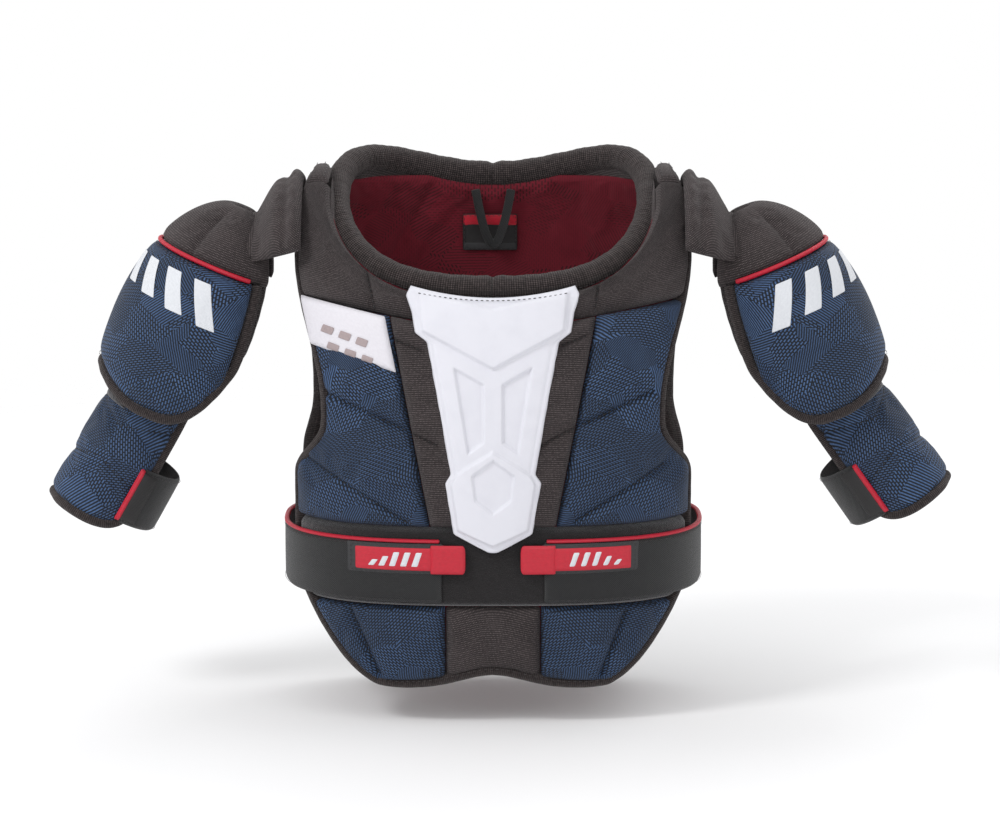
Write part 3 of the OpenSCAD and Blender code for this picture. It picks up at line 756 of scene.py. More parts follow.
def rise(low, v, high=RIDGE_Z, short=3):
    return skin_z(mix(skin_h(np.asarray(float(low))), skin_h(np.asarray(float(high))) - short, v))


def neck_path(v, from_x, side, back=False):
    start = math.degrees(math.asin(from_x / NECK_EDGE))
    x = NECK_EDGE * sind(mix(start, 90, v))
    return side * x, np.minimum(neck_line(x, back) + 2 * v, RIDGE_Z - 0.5)


QUILTING = {
    -1: [[(-141, 240), (-80, 215), (-46, 200)], [(-152, 184), (-72, 138)], [(-95, 287), (-59, 274)],
         [(-109, 344), (-95, 291)]],
    1: [[(130, 240), (62, 211), (36, 198)], [(142, 182), (67, 138)], [(80, 286), (54, 277)],
        [(91, 344), (84, 290)]],
}


def torso_pad(name, chart, face, material, slot, stands_for, seams=(), back=False, **extra):
    surface = back_skin if back else front_skin
    low = PAD_BASE if face > LINER_T else LINER_T
    return pad(name, chart, surface, low, face, "vest", material, slot, stands_for, seams, **extra)


def make_front():
    for word, side in SIDES.items():
        seams = QUILTING[side]
        torso_pad("chest_pad_" + word + "_cover", between(
            lambda v: (side * side_of(front_edge, mix(BAND_TOP, 311, v), EDGE_INSET), mix(BAND_TOP, 311, v)),
            lambda v: (side * mix(54, 88, v), mix(BAND_TOP, 301, v))),
            PAD_FACE, BLUE, "blue_fabric", ["chest_pad_" + word], seams, puff=3.0, cell=2.7)
        torso_pad("chest_column_" + word + "_cover", between(
            lambda v: (side * mix(54 - SEAM, 88 - SEAM, v), mix(BAND_TOP, 301, v)),
            lambda v: (side * mix(20 + SEAM, 42, v), mix(BAND_TOP, 293, v))),
            PAD_FACE, BLACK, "black_knit", ["chest_column_" + word], seams, puff=2.6, cell=2.7)
        torso_pad("yoke_" + word + "_cover", between(
            lambda v: (side * side_of(front_edge, rise(311.5, v), EDGE_INSET), rise(311.5, v)),
            lambda v: (neck_path(v, 43, side)[0], np.where(v == 0, 293.5, neck_path(v, 43, side)[1]))),
            PAD_FACE, BLACK, "black_knit", ["yoke_" + word], seams, puff=3.0, cell=3.0)
        torso_pad("yoke_lining_" + word, between(
            lambda v: (side * side_of(front_edge, rise(298.5, v), EDGE_INSET), rise(298.5, v)),
            lambda v: (neck_path(v, 0.3, side)[0],
                       np.where(v == 0, 298.5, neck_path(v, 0.3, side)[1]))),
            0, LINING, "red_lining", ["yoke_liner_" + word], puff=1.5, cell=5)
        torso_pad("lower_pad_" + word + "_cover", lambda u, v: hem_chart(
            side * mix(side_of(front_edge, mix(6, BAND_BOTTOM, v), EDGE_INSET), 41, u),
            mix(6, BAND_BOTTOM - SEAM, v), v),
            PAD_FACE, BLUE, "blue_fabric", ["lower_pad_" + word],
            [[(-120, 67), (-96, 12)], [(112, 66), (91, 12)]], puff=2.8, cell=2.7)
    torso_pad("sternum_pad_cover", between(
        lambda v: (-mix(20, 42, v), mix(BAND_TOP, neck_line(mix(20, 42, v), False), v)),
        lambda v: (mix(20, 42, v), mix(BAND_TOP, neck_line(mix(20, 42, v), False), v))),
        PAD_FACE - 2, BLACK, "black_knit", ["sternum_pad"], puff=2.0)
    torso_pad("loop_band_cover", lambda u, v: (
        (2 * u - 1) * side_of(front_edge, mix(BAND_BOTTOM, BAND_TOP, v), EDGE_INSET),
        mix(BAND_BOTTOM, BAND_TOP, v)),
        PAD_FACE, LOOP, "loop_fabric", ["loop_band"], puff=0.5, edge=2.5, cell=3.2, cloth=False)
    torso_pad("lower_pad_centre_cover", lambda u, v: hem_chart(
        (2 * u - 1) * (41 - SEAM) + 0 * v, mix(5, BAND_BOTTOM - SEAM, v), v),
        PAD_FACE, BLACK, "black_knit", ["lower_pad_centre"], puff=2.6)
    torso_pad("front_lining", lambda u, v: hem_chart(
        (2 * u - 1) * side_of(front_edge, mix(8, 298, v), EDGE_INSET), mix(8, 298, v), v),
        0, LINING, "red_lining", ["front_liner"], [[(-90, 20), (-90, 298)], [(90, 20), (90, 298)]],
        puff=1.5, cell=6)


def hem_chart(x, z, v):
    return x, z + hem(x) * (1 - v)


PLATE_ROWS = np.array([(115, 3), (119, 12), (130, 33.5), (171, 41), (178, 36), (230, 45.5), (281, 55.5),
                       (288, 65.5), (303, 68), (316, 73), (323, 69)], float)


def outline_depth(x, z, corners):
    """How far inside a closed outline chart points lie; negative outside."""
    edges = list(corners) + [corners[0]]
    away = line_distance(x, z, edges)
    inside = np.zeros(x.shape, bool)
    for (ax, az), (bx, bz) in zip(edges[:-1], edges[1:]):
        with np.errstate(divide="ignore", invalid="ignore"):
            cut = (az > z) != (bz > z)
            inside ^= cut & (x < (bx - ax) * (z - az) / (bz - az) + ax)
    return np.where(inside, away, -away)


def mirrored(half):
    """A closed outline from its right half, listed from the top middle down to the bottom middle."""
    return half + [(-x, z) for x, z in reversed(half) if x != 0]


PLATE_VEE = mirrored([(0, 306), (64, 319), (60, 288), (0, 259)])
PLATE_WELL = [(34, 263), (7, 249), (7, 203), (22, 193)]
PLATE_SHIELD = mirrored([(0, 198), (23, 185), (33, 178), (37, 170), (31, 133), (0, 120)])
PLATE_HEX = [(0, 191), (-19, 178), (-16, 157), (0, 146), (16, 157), (19, 178)]


def make_plate():
    nu, nv = 96, 190
    u, v = np.meshgrid(np.linspace(-1, 1, nu + 1), np.linspace(0, 1, nv + 1))
    z0 = mix(PLATE_ROWS[0, 0], PLATE_ROWS[-1, 0], v)
    half = np.interp(z0, PLATE_ROWS[:, 0], PLATE_ROWS[:, 1])
    half = (np.roll(half, 1, 0) + 2 * half + np.roll(half, -1, 0)) / 4
    half[0], half[-1] = PLATE_ROWS[0, 1], PLATE_ROWS[-1, 1]
    x = u * half
    z = z0 - ease((z0 - 240) / 74) * 9 * (1 - u * u)
    lift = 3.6 + 3.0 * (1 - np.abs(u) ** 3)
    lift += 3.2 * ease(outline_depth(x, z, PLATE_VEE) / 2.6)
    lift -= 2.8 * ease(outline_depth(np.abs(x), z, PLATE_WELL) / 2.4)
    lift += 3.2 * ease(outline_depth(x, z, PLATE_SHIELD) / 2.4)
    lift -= 2.3 * ease(outline_depth(x, z, PLATE_HEX) / 2.2)
    rim = np.minimum((1 - np.abs(u)) * half, np.minimum(z0 - z0[0, 0], z0[-1, 0] - z0))
    roll = np.sqrt(np.maximum(0, 1 - (1 - np.clip(rim / 2.4, 0, 1)) ** 2))
    rim_groove = 0.6 * np.exp(-(((rim - 5.0) / 1.1) ** 2))
    top = PAD_FACE + 0.8 + (lift - rim_groove) * (0.3 + 0.7 * roll)
    low = np.full(x.shape, PAD_FACE - 0.6)
    points = np.concatenate([front_skin(x, z, low).reshape(-1, 3), front_skin(x, z, top).reshape(-1, 3)])
    uv = np.stack([x, z], -1).reshape(-1, 2)
    make_piece("sternum_plate_moulding", points, grid_faces(nu, nv), "vest", PLATE,
               ["sternum_plate"], np.concatenate([uv, uv]))
    for side in (1, -1):
        row = [(side * w * 0.93, h - ease((h - 240) / 74) * 1.4) for h, w in PLATE_ROWS[2:-1]]
        path = resample(row, 1.0)
        run_on_front("vest", path, PAD_FACE + 4.0, "pale", 2.4, 1.8)
    top_x = np.linspace(-64, 64, 60)
    top = np.stack([top_x, 311 + 7 * (top_x / 70) ** 2], axis=1)
    run_on_front("vest", top, PAD_FACE + 8.0, "black", 2.4, 1.8)


def run_on_front(body, chart_path, depth, colour, length=3.0, gap=2.2):
    """A row of stitches along a line in the front view."""
    x, z = np.asarray(chart_path, float).T
    low, high = front_skin(x, z, np.full(len(x), depth)), front_skin(x, z, np.full(len(x), depth + 1.0))
    stitch(body, low, high - low, length, gap, colour=colour)


# ---- Back of the vest --------------------------------------------------------------------------------
SPINE = 34


def back_neck_path(v, side):
    angle = 165 - 75 * np.clip(v * 2 - 1, 0, 1)
    x = NECK_EDGE * sind(angle)
    at_neck = np.minimum(neck_line(x, True) - 5, RIDGE_Z - 0.5)
    up = mix(150, at_neck, np.clip(v * 2, 0, 1))
    return side * np.where(v < 0.5, SPINE + SEAM, x), np.where(v < 0.5, up, at_neck)


def make_back():
    for word, side in SIDES.items():
        seams = [[(side * 36, 262), (side * 156, 232)], [(side * 36, 330), (side * 150, 306)],
                 [(side * 36, 205), (side * 160, 178)]]
        torso_pad("back_pad_" + word + "_cover", between(
            lambda v: (side * side_of(back_edge, rise(150, v), EDGE_INSET), rise(150, v)),
            lambda v: back_neck_path(v, side)),
            PAD_FACE, BLUE, "blue_fabric", ["back_pad_" + word], seams, back=True, puff=3.0, cell=4.5)
    torso_pad("spine_pad_cover", between(
        lambda v: (-SPINE + 0 * v, mix(150, neck_line(np.full_like(v, SPINE), True) - 5, v)),
        lambda v: (SPINE + 0 * v, mix(150, neck_line(np.full_like(v, SPINE), True) - 5, v))),
        PAD_FACE + 3, BLACK, "black_knit", ["spine_pad"],
        [[(-34, z + 14), (0, z), (34, z + 14)] for z in (182, 226, 270, 314, 352)],
        back=True, puff=3.0, edge=7)
    torso_pad("lower_back_pad_cover", lambda u, v: (
        (2 * u - 1) * side_of(back_edge, mix(7, 149.6, v), EDGE_INSET), mix(7, 149.6, v)),
        PAD_FACE, BLACK, "black_knit", ["lower_back_pad"],
        [[(-165, 72), (165, 72)], [(-55, 7), (-55, 150)], [(55, 7), (55, 150)]], back=True, puff=3.0, cell=5)

    def lining_chart(u, v):
        side_z = rise(8, v)
        x = (2 * u - 1) * side_of(back_edge, side_z, EDGE_INSET)
        top = np.minimum(np.where(np.abs(x) < NECK_EDGE, neck_line(x, True) + 7, 999), RIDGE_Z - 0.6)
        return x, 8 + (side_z - 8) * (top - 8) / (RIDGE_Z - 0.6 - 8)

    torso_pad("back_lining", lining_chart, 0, LINING, "red_lining", ["back_liner"],
              [[(-84, 60), (-92, 330), (-52, 396)], [(84, 60), (92, 330), (52, 396)],
               [(-150, 300), (-92, 330)], [(150, 300), (92, 330)]], back=True, puff=2.2, cell=4.2, groove=1.5)


# ---- Edge binding, collar and neck -------------------------------------------------------------------
def vest_outline(back):
    edge = back_edge if back else front_edge
    low = 12 if back else 6
    half = BINDING_W / 2 + 0.3
    v = np.linspace(0, 1, 60)
    z = skin_z(mix(skin_h(np.asarray(RIDGE_Z - 6.0)), float(low), v))
    side_x = side_of(edge, z, half)
    reach_x = 108 if back else 84
    x = np.linspace(reach_x, -reach_x, 41)[1:-1]
    row_z = (4.5 + 0 * x) if back else hem(x) + 4.5
    points = list(zip(side_x, z)) + list(zip(x, row_z)) + list(zip(-side_x[::-1], z[::-1]))
    return resample(points, 2.2, smoothing=3)


def make_binding():
    for word, back in (("front", False), ("back", True)):
        x, z = vest_outline(back).T
        surface = back_skin if back else front_skin
        mid = surface(x, z, np.full(len(x), PAD_FACE / 2))
        up = unit(surface(x, z, np.full(len(x), PAD_FACE / 2 + 1.0)) - mid)
        waves = 0.25 * np.sin(np.arange(len(x)) * 0.9) + 0.2 * np.sin(np.arange(len(x)) * 0.37)
        section = oval(BINDING_W / 2 + 0.4, PAD_FACE / 2 + 1.2, 16, 3.0)[None]
        section = section * (1 + 0.03 * waves[:, None, None])
        tube(word + "_edge_binding", mid, up, section, "vest", BINDING, [word + "_binding"])
        along = unit(np.gradient(mid, axis=0))
        across = unit(np.cross(along, up))
        centre = np.array([0, 0, 200.0])
        inward = np.sign(((centre - mid) * across * [1, 0, 1]).sum(-1, keepdims=True))
        line = mid + across * inward * (BINDING_W / 2 - 1.4) + up * (PAD_FACE / 2 + 1.5)
        stitch("vest", line, up, 2.6, 2.0, 0.34, "dark")


def make_collar():
    t = np.linspace(0, 360, 721)[:-1]
    ring = resample(collar(t), 2.0, closed=True)
    n = len(ring)
    up = np.tile([0.0, 0.0, 1.0], (n, 1))
    turn = np.degrees(np.arctan2(ring[:, 0], -(ring[:, 1] - 8)))
    size = 1 + 0.018 * np.sin(np.arange(n) * 1.9) + 0.02 * np.sin(np.arange(n) * 0.55)
    size += 0.05 * np.exp(-((np.abs(turn) - 150) / 26) ** 2)
    for place, width in ((0, 1.6), (180, 1.6)):
        off = np.abs((turn - place + 180) % 360 - 180)
        size -= 0.13 * np.exp(-((off / width) ** 2))
        size += 0.05 * np.exp(-(((off - 5) / 3.5) ** 2))
    sides = 24
    a = np.linspace(0, 360, sides, endpoint=False)
    pucker = 1 + 0.025 * np.sin(np.arange(n)[:, None] * 1.25 + 2 * np.sin(np.radians(a))[None] * 3) \
        * np.clip(-sind(a), 0, 1)[None]
    section = np.stack([COLLAR_R * 1.04 * cosd(a)[None] * size[:, None] * pucker,
                        COLLAR_R * 1.08 * sind(a)[None] * size[:, None] * pucker], axis=-1)
    tube("collar_roll_cover", ring, up, section, "vest", COLLAR, ["collar_roll"], closed=True)
    along = unit(np.roll(ring, -1, 0) - np.roll(ring, 1, 0))
    outward = unit(np.cross(along, up))
    centre = np.array([0, 8, 0])
    outward *= np.sign(((ring - centre) * outward * [1, 1, 0]).sum(-1, keepdims=True))
    side_dir = unit(outward - up * 0.55)
    stitch("vest", ring + side_dir * (COLLAR_R * 1.04), side_dir, 3.0, 2.2, 0.4, "dark")


def make_neck_band():
    """The black knit band that joins the collar roll to the panels all the way round."""
    def place(t, v, w):
        back = is_back(t)
        x = NECK_EDGE * sind(t)
        near_ridge = ease(np.abs(cosd(t)) / 0.35)
        low = np.where(back, neck_line(x, True), neck_line(x, False)) - 9
        z = mix(RIDGE_Z - 0.5, low, near_ridge)
        angle = np.where(back, 180 - front_angle(x), front_angle(x))
        bottom = torso(angle, skin_h(z, angle), mix(1.0, PAD_FACE + 1.0, w))
        ring = collar(t)
        away = unit((ring - [0, RIDGE_Y, 0]) * [1, 1, 0])
        top = ring + away * mix(-6.0, 6.0, w)[..., None] - [0, 0, 4.0]
        return mix(bottom, top, v[..., None])

    return pad("neck_band_knit", lambda u, v: (mix(-180, 180, u), v), place, 0, 1, "vest", BLACK,
               "black_knit", cell=3.0, puff=0, edge=0.1, **FLAT)


def make_neck():
    t = np.linspace(0, 180, 60)
    path = np.stack([15 * cosd(t) * (1 - 0.25 * sind(t)), 79 + 5 * sind(t),
                     388 - 47 * sind(t) ** 1.3], axis=1)
    path = resample(path, 1.5)
    tube("hanger_tape", path, np.tile([0.0, -1.0, 0.1], (len(path), 1)), oval(3.7, 0.85, 12, 4.0), "vest",
         WEBBING, ["hanger_loop"])
    half, low, high = 25, 335, 367

    def flat(name, x0, x1, z0, z1, d0, d1, material, stands_for=()):
        return pad(name, lambda u, v: (mix(x0, x1, u), mix(z0, z1, v)), back_skin, d0, d1, "vest", material,
                   "label_fabric", stands_for, cell=3, puff=0.1, edge=0.8, **FLAT)

    flat("neck_label_tape", -half - 3, half - 3, low, high, -2.4, -3.3, BLACK_TAPE, ["neck_label"])
    flat("neck_label_red_band", -half - 2.4, half - 3.6, high - 10, high - 0.8, -3.2, -3.7, RED_LABEL)
    flat("neck_label_grey_band", -half - 2.4, half - 3.6, low + 0.8, low + 7, -3.2, -3.7, GREY_TAPE)
    frame_line = resample([(-half - 1.5, low + 1.5), (half - 4.5, low + 1.5), (half - 4.5, high - 1.5),
                           (-half - 1.5, high - 1.5), (-half - 1.5, low + 1.5)], 1.0)
    x, z = frame_line.T
    inner = back_skin(x, z, np.full(len(x), -3.7))
    stitch("vest", inner, inner - back_skin(x, z, np.full(len(x), -2.7)), 2.2, 1.8, 0.28, "dark")


def make_strips():
    def over_ridge(x, t, d):
        angle = np.where(t < 0, front_angle(x), 180 - front_angle(x))
        return torso(angle, CHEST_Z + DOME_ARC - 62 * np.abs(t), d)

    for word, side in SIDES.items():
        pad("shoulder_strip_" + word + "_cover", lambda u, v: (side * mix(142, 159, u), 2 * v - 1),
            over_ridge, PAD_FACE + 0.6, PAD_FACE + 3.8, "vest", BLACK, "black_knit",
            ["shoulder_strip_" + word],
            puff=1.6, edge=3.0, cell=3, scale=(1, 62))
        for x in (145.5, 155.5):
            t = np.linspace(-0.94, 0.94, 90)
            low = over_ridge(side * x + 0 * t, t, np.full(90, PAD_FACE + 5.2))
            high = over_ridge(side * x + 0 * t, t, np.full(90, PAD_FACE + 6.2))
            stitch("vest", low, high - low, 3.0, 2.2, 0.36, "dark")


def make_patch():
    patch = pad("chest_patch_print", lambda u, v: (-mix(mix(148, 156, v), mix(80.5, 90, v), u),
                                           mix(mix(276, 314, v), mix(257, 300, v), u)),
        front_skin, PAD_FACE + 0.6, PAD_FACE + 4.6, "vest", PATCH_PRINT, "white_patch", ["chest_patch"],
        cell=2.5, puff=0.9, edge=5.0, **FLAT)
    wide, tall, slope = 8.5, 5.5, -0.33
    for row in range(2):
        for k in range(3):
            x0 = -137 + 4 * row + 13 * k
            z0 = 287 - 12 * row + slope * (x0 + 137)
            corners = [(x0 - 1, z0), (x0 + wide - 1, z0 + slope * wide),
                       (x0 + wide + 1, z0 + slope * wide + tall), (x0 + 1, z0 + tall)]
            decal("chest_patch_dash_%d_%d" % (row, k), patch, "vest", front_skin, corners,
                  PAD_FACE + 5.2, PALE_PRINT, "white_patch", (1, 1))


# ---- Belts -------------------------------------------------------------------------------------------
def round_body(side):
    return lambda angle, z, d: torso(side * angle, z, d)


def make_belts():
    for word, side in SIDES.items():
        body = "belt_" + word
        wrap = round_body(side)
        low, high = BELT_Z - BELT_W / 2, BELT_Z + BELT_W / 2
        arc = math.radians(1) * 150     # millimetres of belt in one degree

        def part(name, a0, a1, z0, z1, d0, d1, material, slot, stands_for=(), round_end=0.0, **extra):
            options = dict(TAPE, scale=(arc, 1))
            options.update(extra)

            def chart(u, v):
                k = 2 * v - 1
                end = round_end * (1 - np.sqrt(np.maximum(0, 1 - 0.97 * np.abs(k) ** 5)))
                return mix(a0 + end, a1, u), mix(z0, z1, v)

            return pad(name, chart, wrap, d0, d1, body, material, slot, stands_for, **options)

        part("belt_" + word + "_webbing", BELT_END, BELT_ANCHOR, low, high, BELT_BASE, BELT_FACE, WEBBING,
             "elastic", ["belt_" + word], cell=3.0)
        part("belt_hook_" + word + "_tape", BELT_END + 0.6, BELT_END + 15, BELT_Z - 22, BELT_Z + 22,
             PAD_FACE + 0.5, BELT_BASE - 0.2, HOOK, "hook_plastic", ["belt_hook_" + word])
        part("belt_" + word + "_border", BELT_END - 1.5, BELT_END + 30, BELT_Z - 1.5, BELT_Z + 23.4,
             BELT_FACE - 0.2, BELT_FACE + 0.9, GREY_TAPE, "label_fabric", round_end=1.5)
        part("belt_" + word + "_label", BELT_END + 2.5, BELT_END + 27, BELT_Z + 1.6, BELT_Z + 20.0,
             BELT_FACE + 0.8, BELT_FACE + 1.7, RED_LABEL, "red_label", cell=2)
        part("belt_tab_" + word + "_pull", BELT_END - 7.0, BELT_END + 3.2, BELT_Z - 1.0, BELT_Z + 22.4,
             BELT_FACE + 0.9, BELT_FACE + 2.4, RED_LABEL, "red_label", ["belt_tab_" + word], round_end=0.8,
             cell=2)
        for k in range(5):
            a0 = BELT_END + 7.0 + 3.4 * k
            tall = (11.5, 11.5, 11.5, 8.0, 5.0)[k]
            pad("belt_%s_bar_%d" % (word, k), lambda u, v: (a0 + 1.9 * u + (1.5 if side > 0 else -1.5) * v,
                                                            BELT_Z + 5 + tall * v), wrap,
                BELT_FACE + 1.7, BELT_FACE + 2.3, body, WHITE_TAPE, "white_patch", cell=1.5, puff=0.05,
                edge=0.5, **FLAT, scale=(arc, 1))
        angle = np.linspace(BELT_END + 0.5, BELT_ANCHOR - 0.5, 160)
        for z in (high - 3.2, low + 2.6):
            line = wrap(angle, z + 0 * angle, np.full(160, BELT_FACE + 0.35))
            below = wrap(angle, z + 0 * angle, np.full(160, BELT_FACE - 0.65))
            stitch(body, line, line - below, 2.8, 2.2, 0.3)
        rim = wrap(angle, high + 0.2 + 0 * angle, np.full(160, (BELT_BASE + BELT_FACE) / 2))
        up = unit(wrap(angle, high + 0 * angle, np.full(160, BELT_FACE + 1.0)) - rim)
        both = resample(np.concatenate([rim, up], axis=1), 2.0)
        tube("belt_%s_piping" % word, both[:, :3], unit(both[:, 3:]), oval(1.5, 2.1, 10), body, RED_TAPE)
        a0, a1, z0, z1 = BELT_END, BELT_END + 28.5, BELT_Z + 0.1, BELT_Z + 21.8
        corners = [(a0, z0), (a1, z0), (a1, z1), (a0, z1), (a0, z0)]
        a, z = resample([(p * arc, q) for p, q in corners], 1.0).T
        line = wrap(a / arc, z, np.full(len(a), BELT_FACE + 1.15))
        stitch(body, line, line - wrap(a / arc, z, np.full(len(a), BELT_FACE)), 2.2, 1.8, 0.3, "dark")


# ---- Arms --------------------------------------------------------------------------------------------
def down(side, tilt):
    return np.array([side * sind(tilt), 0, -cosd(tilt)])


def outward(side, tilt):
    return np.array([side * cosd(tilt), 0, sind(tilt)])


def shoulder(side):
    return np.array([side * SHOULDER_X, RIDGE_Y, SHOULDER_Z])


def cap_q(a):
    near = np.degrees(np.arccos(np.clip((DOME_END - a) / DOME_H, -1, 1)))
    return np.where(a < DOME_END, near, 90 + (a - DOME_END) / 1.3)


def cap_point(side, angle, a, d):
    """A point on a cap: angle round the arm, a down it, d off the face."""
    q = cap_q(a)
    slope = np.minimum(q, 90)
    n = unit(np.stack(np.broadcast_arrays(-cosd(slope) / DOME_H, sind(slope) / CAP_R), axis=-1))
    r = np.where(q < 90, CAP_R * sind(q), CAP_R - 5 * ((q - 90) / 50) ** 2) + d * n[..., 1]
    run = np.where(q < 90, DOME_END - DOME_H * cosd(q), DOME_END + (q - 90) * 1.3) + d * n[..., 0]
    return (shoulder(side) + run[..., None] * down(side, CAP_TILT)
            + (r * cosd(angle))[..., None] * outward(side, CAP_TILT)
            + stack(0, CAP_FLAT * r * sind(angle), 0))


def cap_edge(angle):
    b = np.abs(angle)
    return 150 + 20 * ease(b / 72) - 42 * (np.maximum(0, b - 80) / 40) ** 3


def arch(side, angle, u, d):
    x, ry, rz = mix(159, 192, u), mix(64, 50, u), mix(60, 40, u)
    n = unit(np.stack([cosd(angle) / ry, sind(angle) / rz], axis=-1))
    return stack(side * (x + d * 0.25), RIDGE_Y + ry * cosd(angle) + d * n[..., 0],
                 338 + rz * sind(angle) + d * n[..., 1])


def decal(name, host, body, surface, corners, d0, material, slot, scale, cell=1.6, thick=0.6):
    """A flat four-cornered mark printed on a host piece: corners run round it in the chart."""
    (ax, ay), (bx, by), (cx, cy), (dx, dy) = corners

    def chart(u, v):
        return (mix(mix(ax, bx, u), mix(dx, cx, u), v), mix(mix(ay, by, u), mix(dy, cy, u), v))

    mark = pad(name, chart, surface, d0, d0 + thick, body, material, slot, cell=cell, puff=0, edge=0.5,
               **FLAT, scale=scale)
    settle_jobs.append((mark, host, thick))
    return mark


def make_epaulets():
    for word, side in SIDES.items():
        def chart(u, v):
            end = 12 - 8 * u
            return mix(end, 180 - end, v), mix(-0.16, 1.14, u)

        def surface(t, u, d, side=side):
            slope = ease((u - 0.3) / 0.85)
            return arch(side, t, u, d - slope * (5 + 0.9 * (d - 3)))

        pad("epaulet_" + word + "_cover", chart, surface, 3, 11, "epaulet_" + word, BLACK, "black_knit",
            ["epaulet_" + word], [[(4, 0.2), (176, 0.2)]], puff=3.0, edge=6, groove=1.6,
            scale=(1, 36), cell=2.7)


def make_gussets():
    """Knit gussets under the shoulder seams, so that no gap opens there."""
    nu, nv, thick = 60, 24, 1.6
    u, v = np.meshgrid(np.linspace(0, 1, nu + 1), np.linspace(0, 1, nv + 1))
    t = mix(10, 170, u)
    for word, side in SIDES.items():
        skins = []
        for inward in (thick, 0):
            ry, rz = mix(49, 40, v) - inward, mix(41, 32.5, v) - inward
            skin = stack(side * mix(182, 220, v), RIDGE_Y + ry * cosd(t), 338 + rz * sind(t))
            skins.append(skin.reshape(-1, 3))
        uv = np.stack([t * 0.8, v * 38], axis=-1).reshape(-1, 2)
        gusset = make_piece("shoulder_gusset_" + word, np.concatenate(skins), grid_faces(nu, nv), None, BLACK,
                            uv=np.concatenate([uv, uv]))
        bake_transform(gusset)


def make_caps():
    for word, side in SIDES.items():
        body = "cap_" + word
        surface = lambda angle, a, d, side=side: cap_point(side, angle, a, d)
        arc = math.radians(1) * 62
        pad("crown_" + word + "_cover", lambda u, v: (CROWN_WRAP * (2 * u - 1), mix(-9.6, 38.5, v ** 1.4)),
            surface, -4, 0.5, body, BLACK, "black_knit", ["crown_" + word],
            [[(-60, 4), (-60, 39)], [(60, 4), (60, 39)]], puff=3.0, edge=5,
            scale=(arc, 1), cell=2.7, groove=1.2)

        def shell_chart(wrap, top, inset):
            def chart(u, v):
                angle = wrap * (2 * u - 1)
                return angle, mix(top, cap_edge(angle) - inset, v)
            return chart

        cover = pad("cap_face_" + word + "_cover", shell_chart(CAP_WRAP + 1, PIPING_AT + 0.5, 3.5), surface,
                    -4, 0, body, BLUE, "blue_fabric", ["cap_face_" + word], puff=2.4, edge=5,
                    scale=(arc, 1), cell=2.7)
        pad("cap_cup_" + word + "_shell", shell_chart(CAP_WRAP - 2, 10, 9), surface, -5.2, -6.9, body, CUP,
            "inner_plastic", ["cap_cup_" + word], puff=0.1, edge=1.5, cell=5, scale=(arc, 1), **FLAT)
        pad("cap_lining_" + word, shell_chart(CAP_WRAP + 1, 14, 4), surface, -8.2, -11.2, body, BLACK,
            "black_knit", ["cap_liner_" + word], [[(-40, 14), (-40, 170)], [(40, 14), (40, 170)]],
            puff=1.4, cell=5, scale=(arc, 1), groove=1.2)
        angle = np.linspace(-116, 116, 150)
        rim = cap_point(side, angle, PIPING_AT + 0 * angle, 1.2 + 0 * angle)
        off = unit(cap_point(side, angle, PIPING_AT + 0 * angle, 3 + 0 * angle) - rim)
        tube("cap_piping_" + word + "_cord", rim, off, oval(1.9, 2.3, 12), body, RED_TAPE,
             ["cap_piping_" + word])
        make_cap_binding(word, side, body)
        make_cap_mark(word, cover, body, surface, arc)
        for line_a in (PIPING_AT - 4, PIPING_AT + 4):
            line = cap_point(side, angle, line_a + 0 * angle, 2.0 + 0 * angle)
            above = cap_point(side, angle, line_a + 0 * angle, 3.0 + 0 * angle)
            stitch(body, line, above - line, 3, 2.2, 0.32)


def make_cap_binding(word, side, body):
    wrap = CAP_WRAP + 5
    up = np.linspace(0, 1, 20)[:-1]
    sweep_angle = wrap * np.linspace(1, -1, 70)
    edge_at_wrap = cap_edge(wrap)
    a = np.concatenate([mix(PIPING_AT, edge_at_wrap - 4, up), cap_edge(sweep_angle) - 1,
                        mix(PIPING_AT, edge_at_wrap - 4, up)[::-1]])
    angle = np.concatenate([wrap + 0 * up, sweep_angle, -wrap + 0 * up])
    mid = cap_point(side, angle, a, -4.4 + 0 * a)
    off = unit(cap_point(side, angle, a, 0 * a) - mid)
    both = resample(np.concatenate([mid, off], axis=1), 2.2, smoothing=2)
    wave = 1 + 0.02 * np.sin(np.arange(len(both)) * 0.8)
    tube("cap_binding_" + word + "_tape", both[:, :3], unit(both[:, 3:]),
         oval(4.4, 6.8, 16, 3.0)[None] * wave[:, None, None], body, BINDING,
         ["cap_binding_" + word])
    inner = cap_point(side, sweep_angle * 0.97, cap_edge(sweep_angle) - 5.2, 2.3 + 0 * sweep_angle)
    stitch(body, inner, cap_point(side, sweep_angle * 0.97, cap_edge(sweep_angle) - 5.2,
                                  3.3 + 0 * sweep_angle) - inner, 2.6, 2.0, 0.34, "dark")


def make_cap_mark(word, cover, body, surface, arc):
    """A generic mark: slanted white bars from the front of the cap round to its side."""
    wide, lean, top = 13, 7, PIPING_AT + 13
    for k in range(4):
        a0 = -94 + 24 * k
        low = top + 34 - 3 * k
        decal("cap_%s_bar_%d" % (word, k), cover, body, surface,
              [(a0 + lean, top), (a0 + lean + wide, top), (a0 + wide - lean, low), (a0 - lean, low)],
              2.4, WHITE_TAPE, "white_patch", (arc, 1))


def guard_hinge(side):
    return shoulder(side) + 120 * down(side, CAP_TILT) + 2 * outward(side, CAP_TILT)


def guard_point(side, angle, a, d):
    tilt = GUARD_TILT[side]
    r = GUARD_R + 2 * a / GUARD_END + d
    return (guard_hinge(side) + np.asarray(a)[..., None] * down(side, tilt)
            + (r * cosd(angle))[..., None] * outward(side, tilt) + stack(0, 0.95 * r * sind(angle), 0))


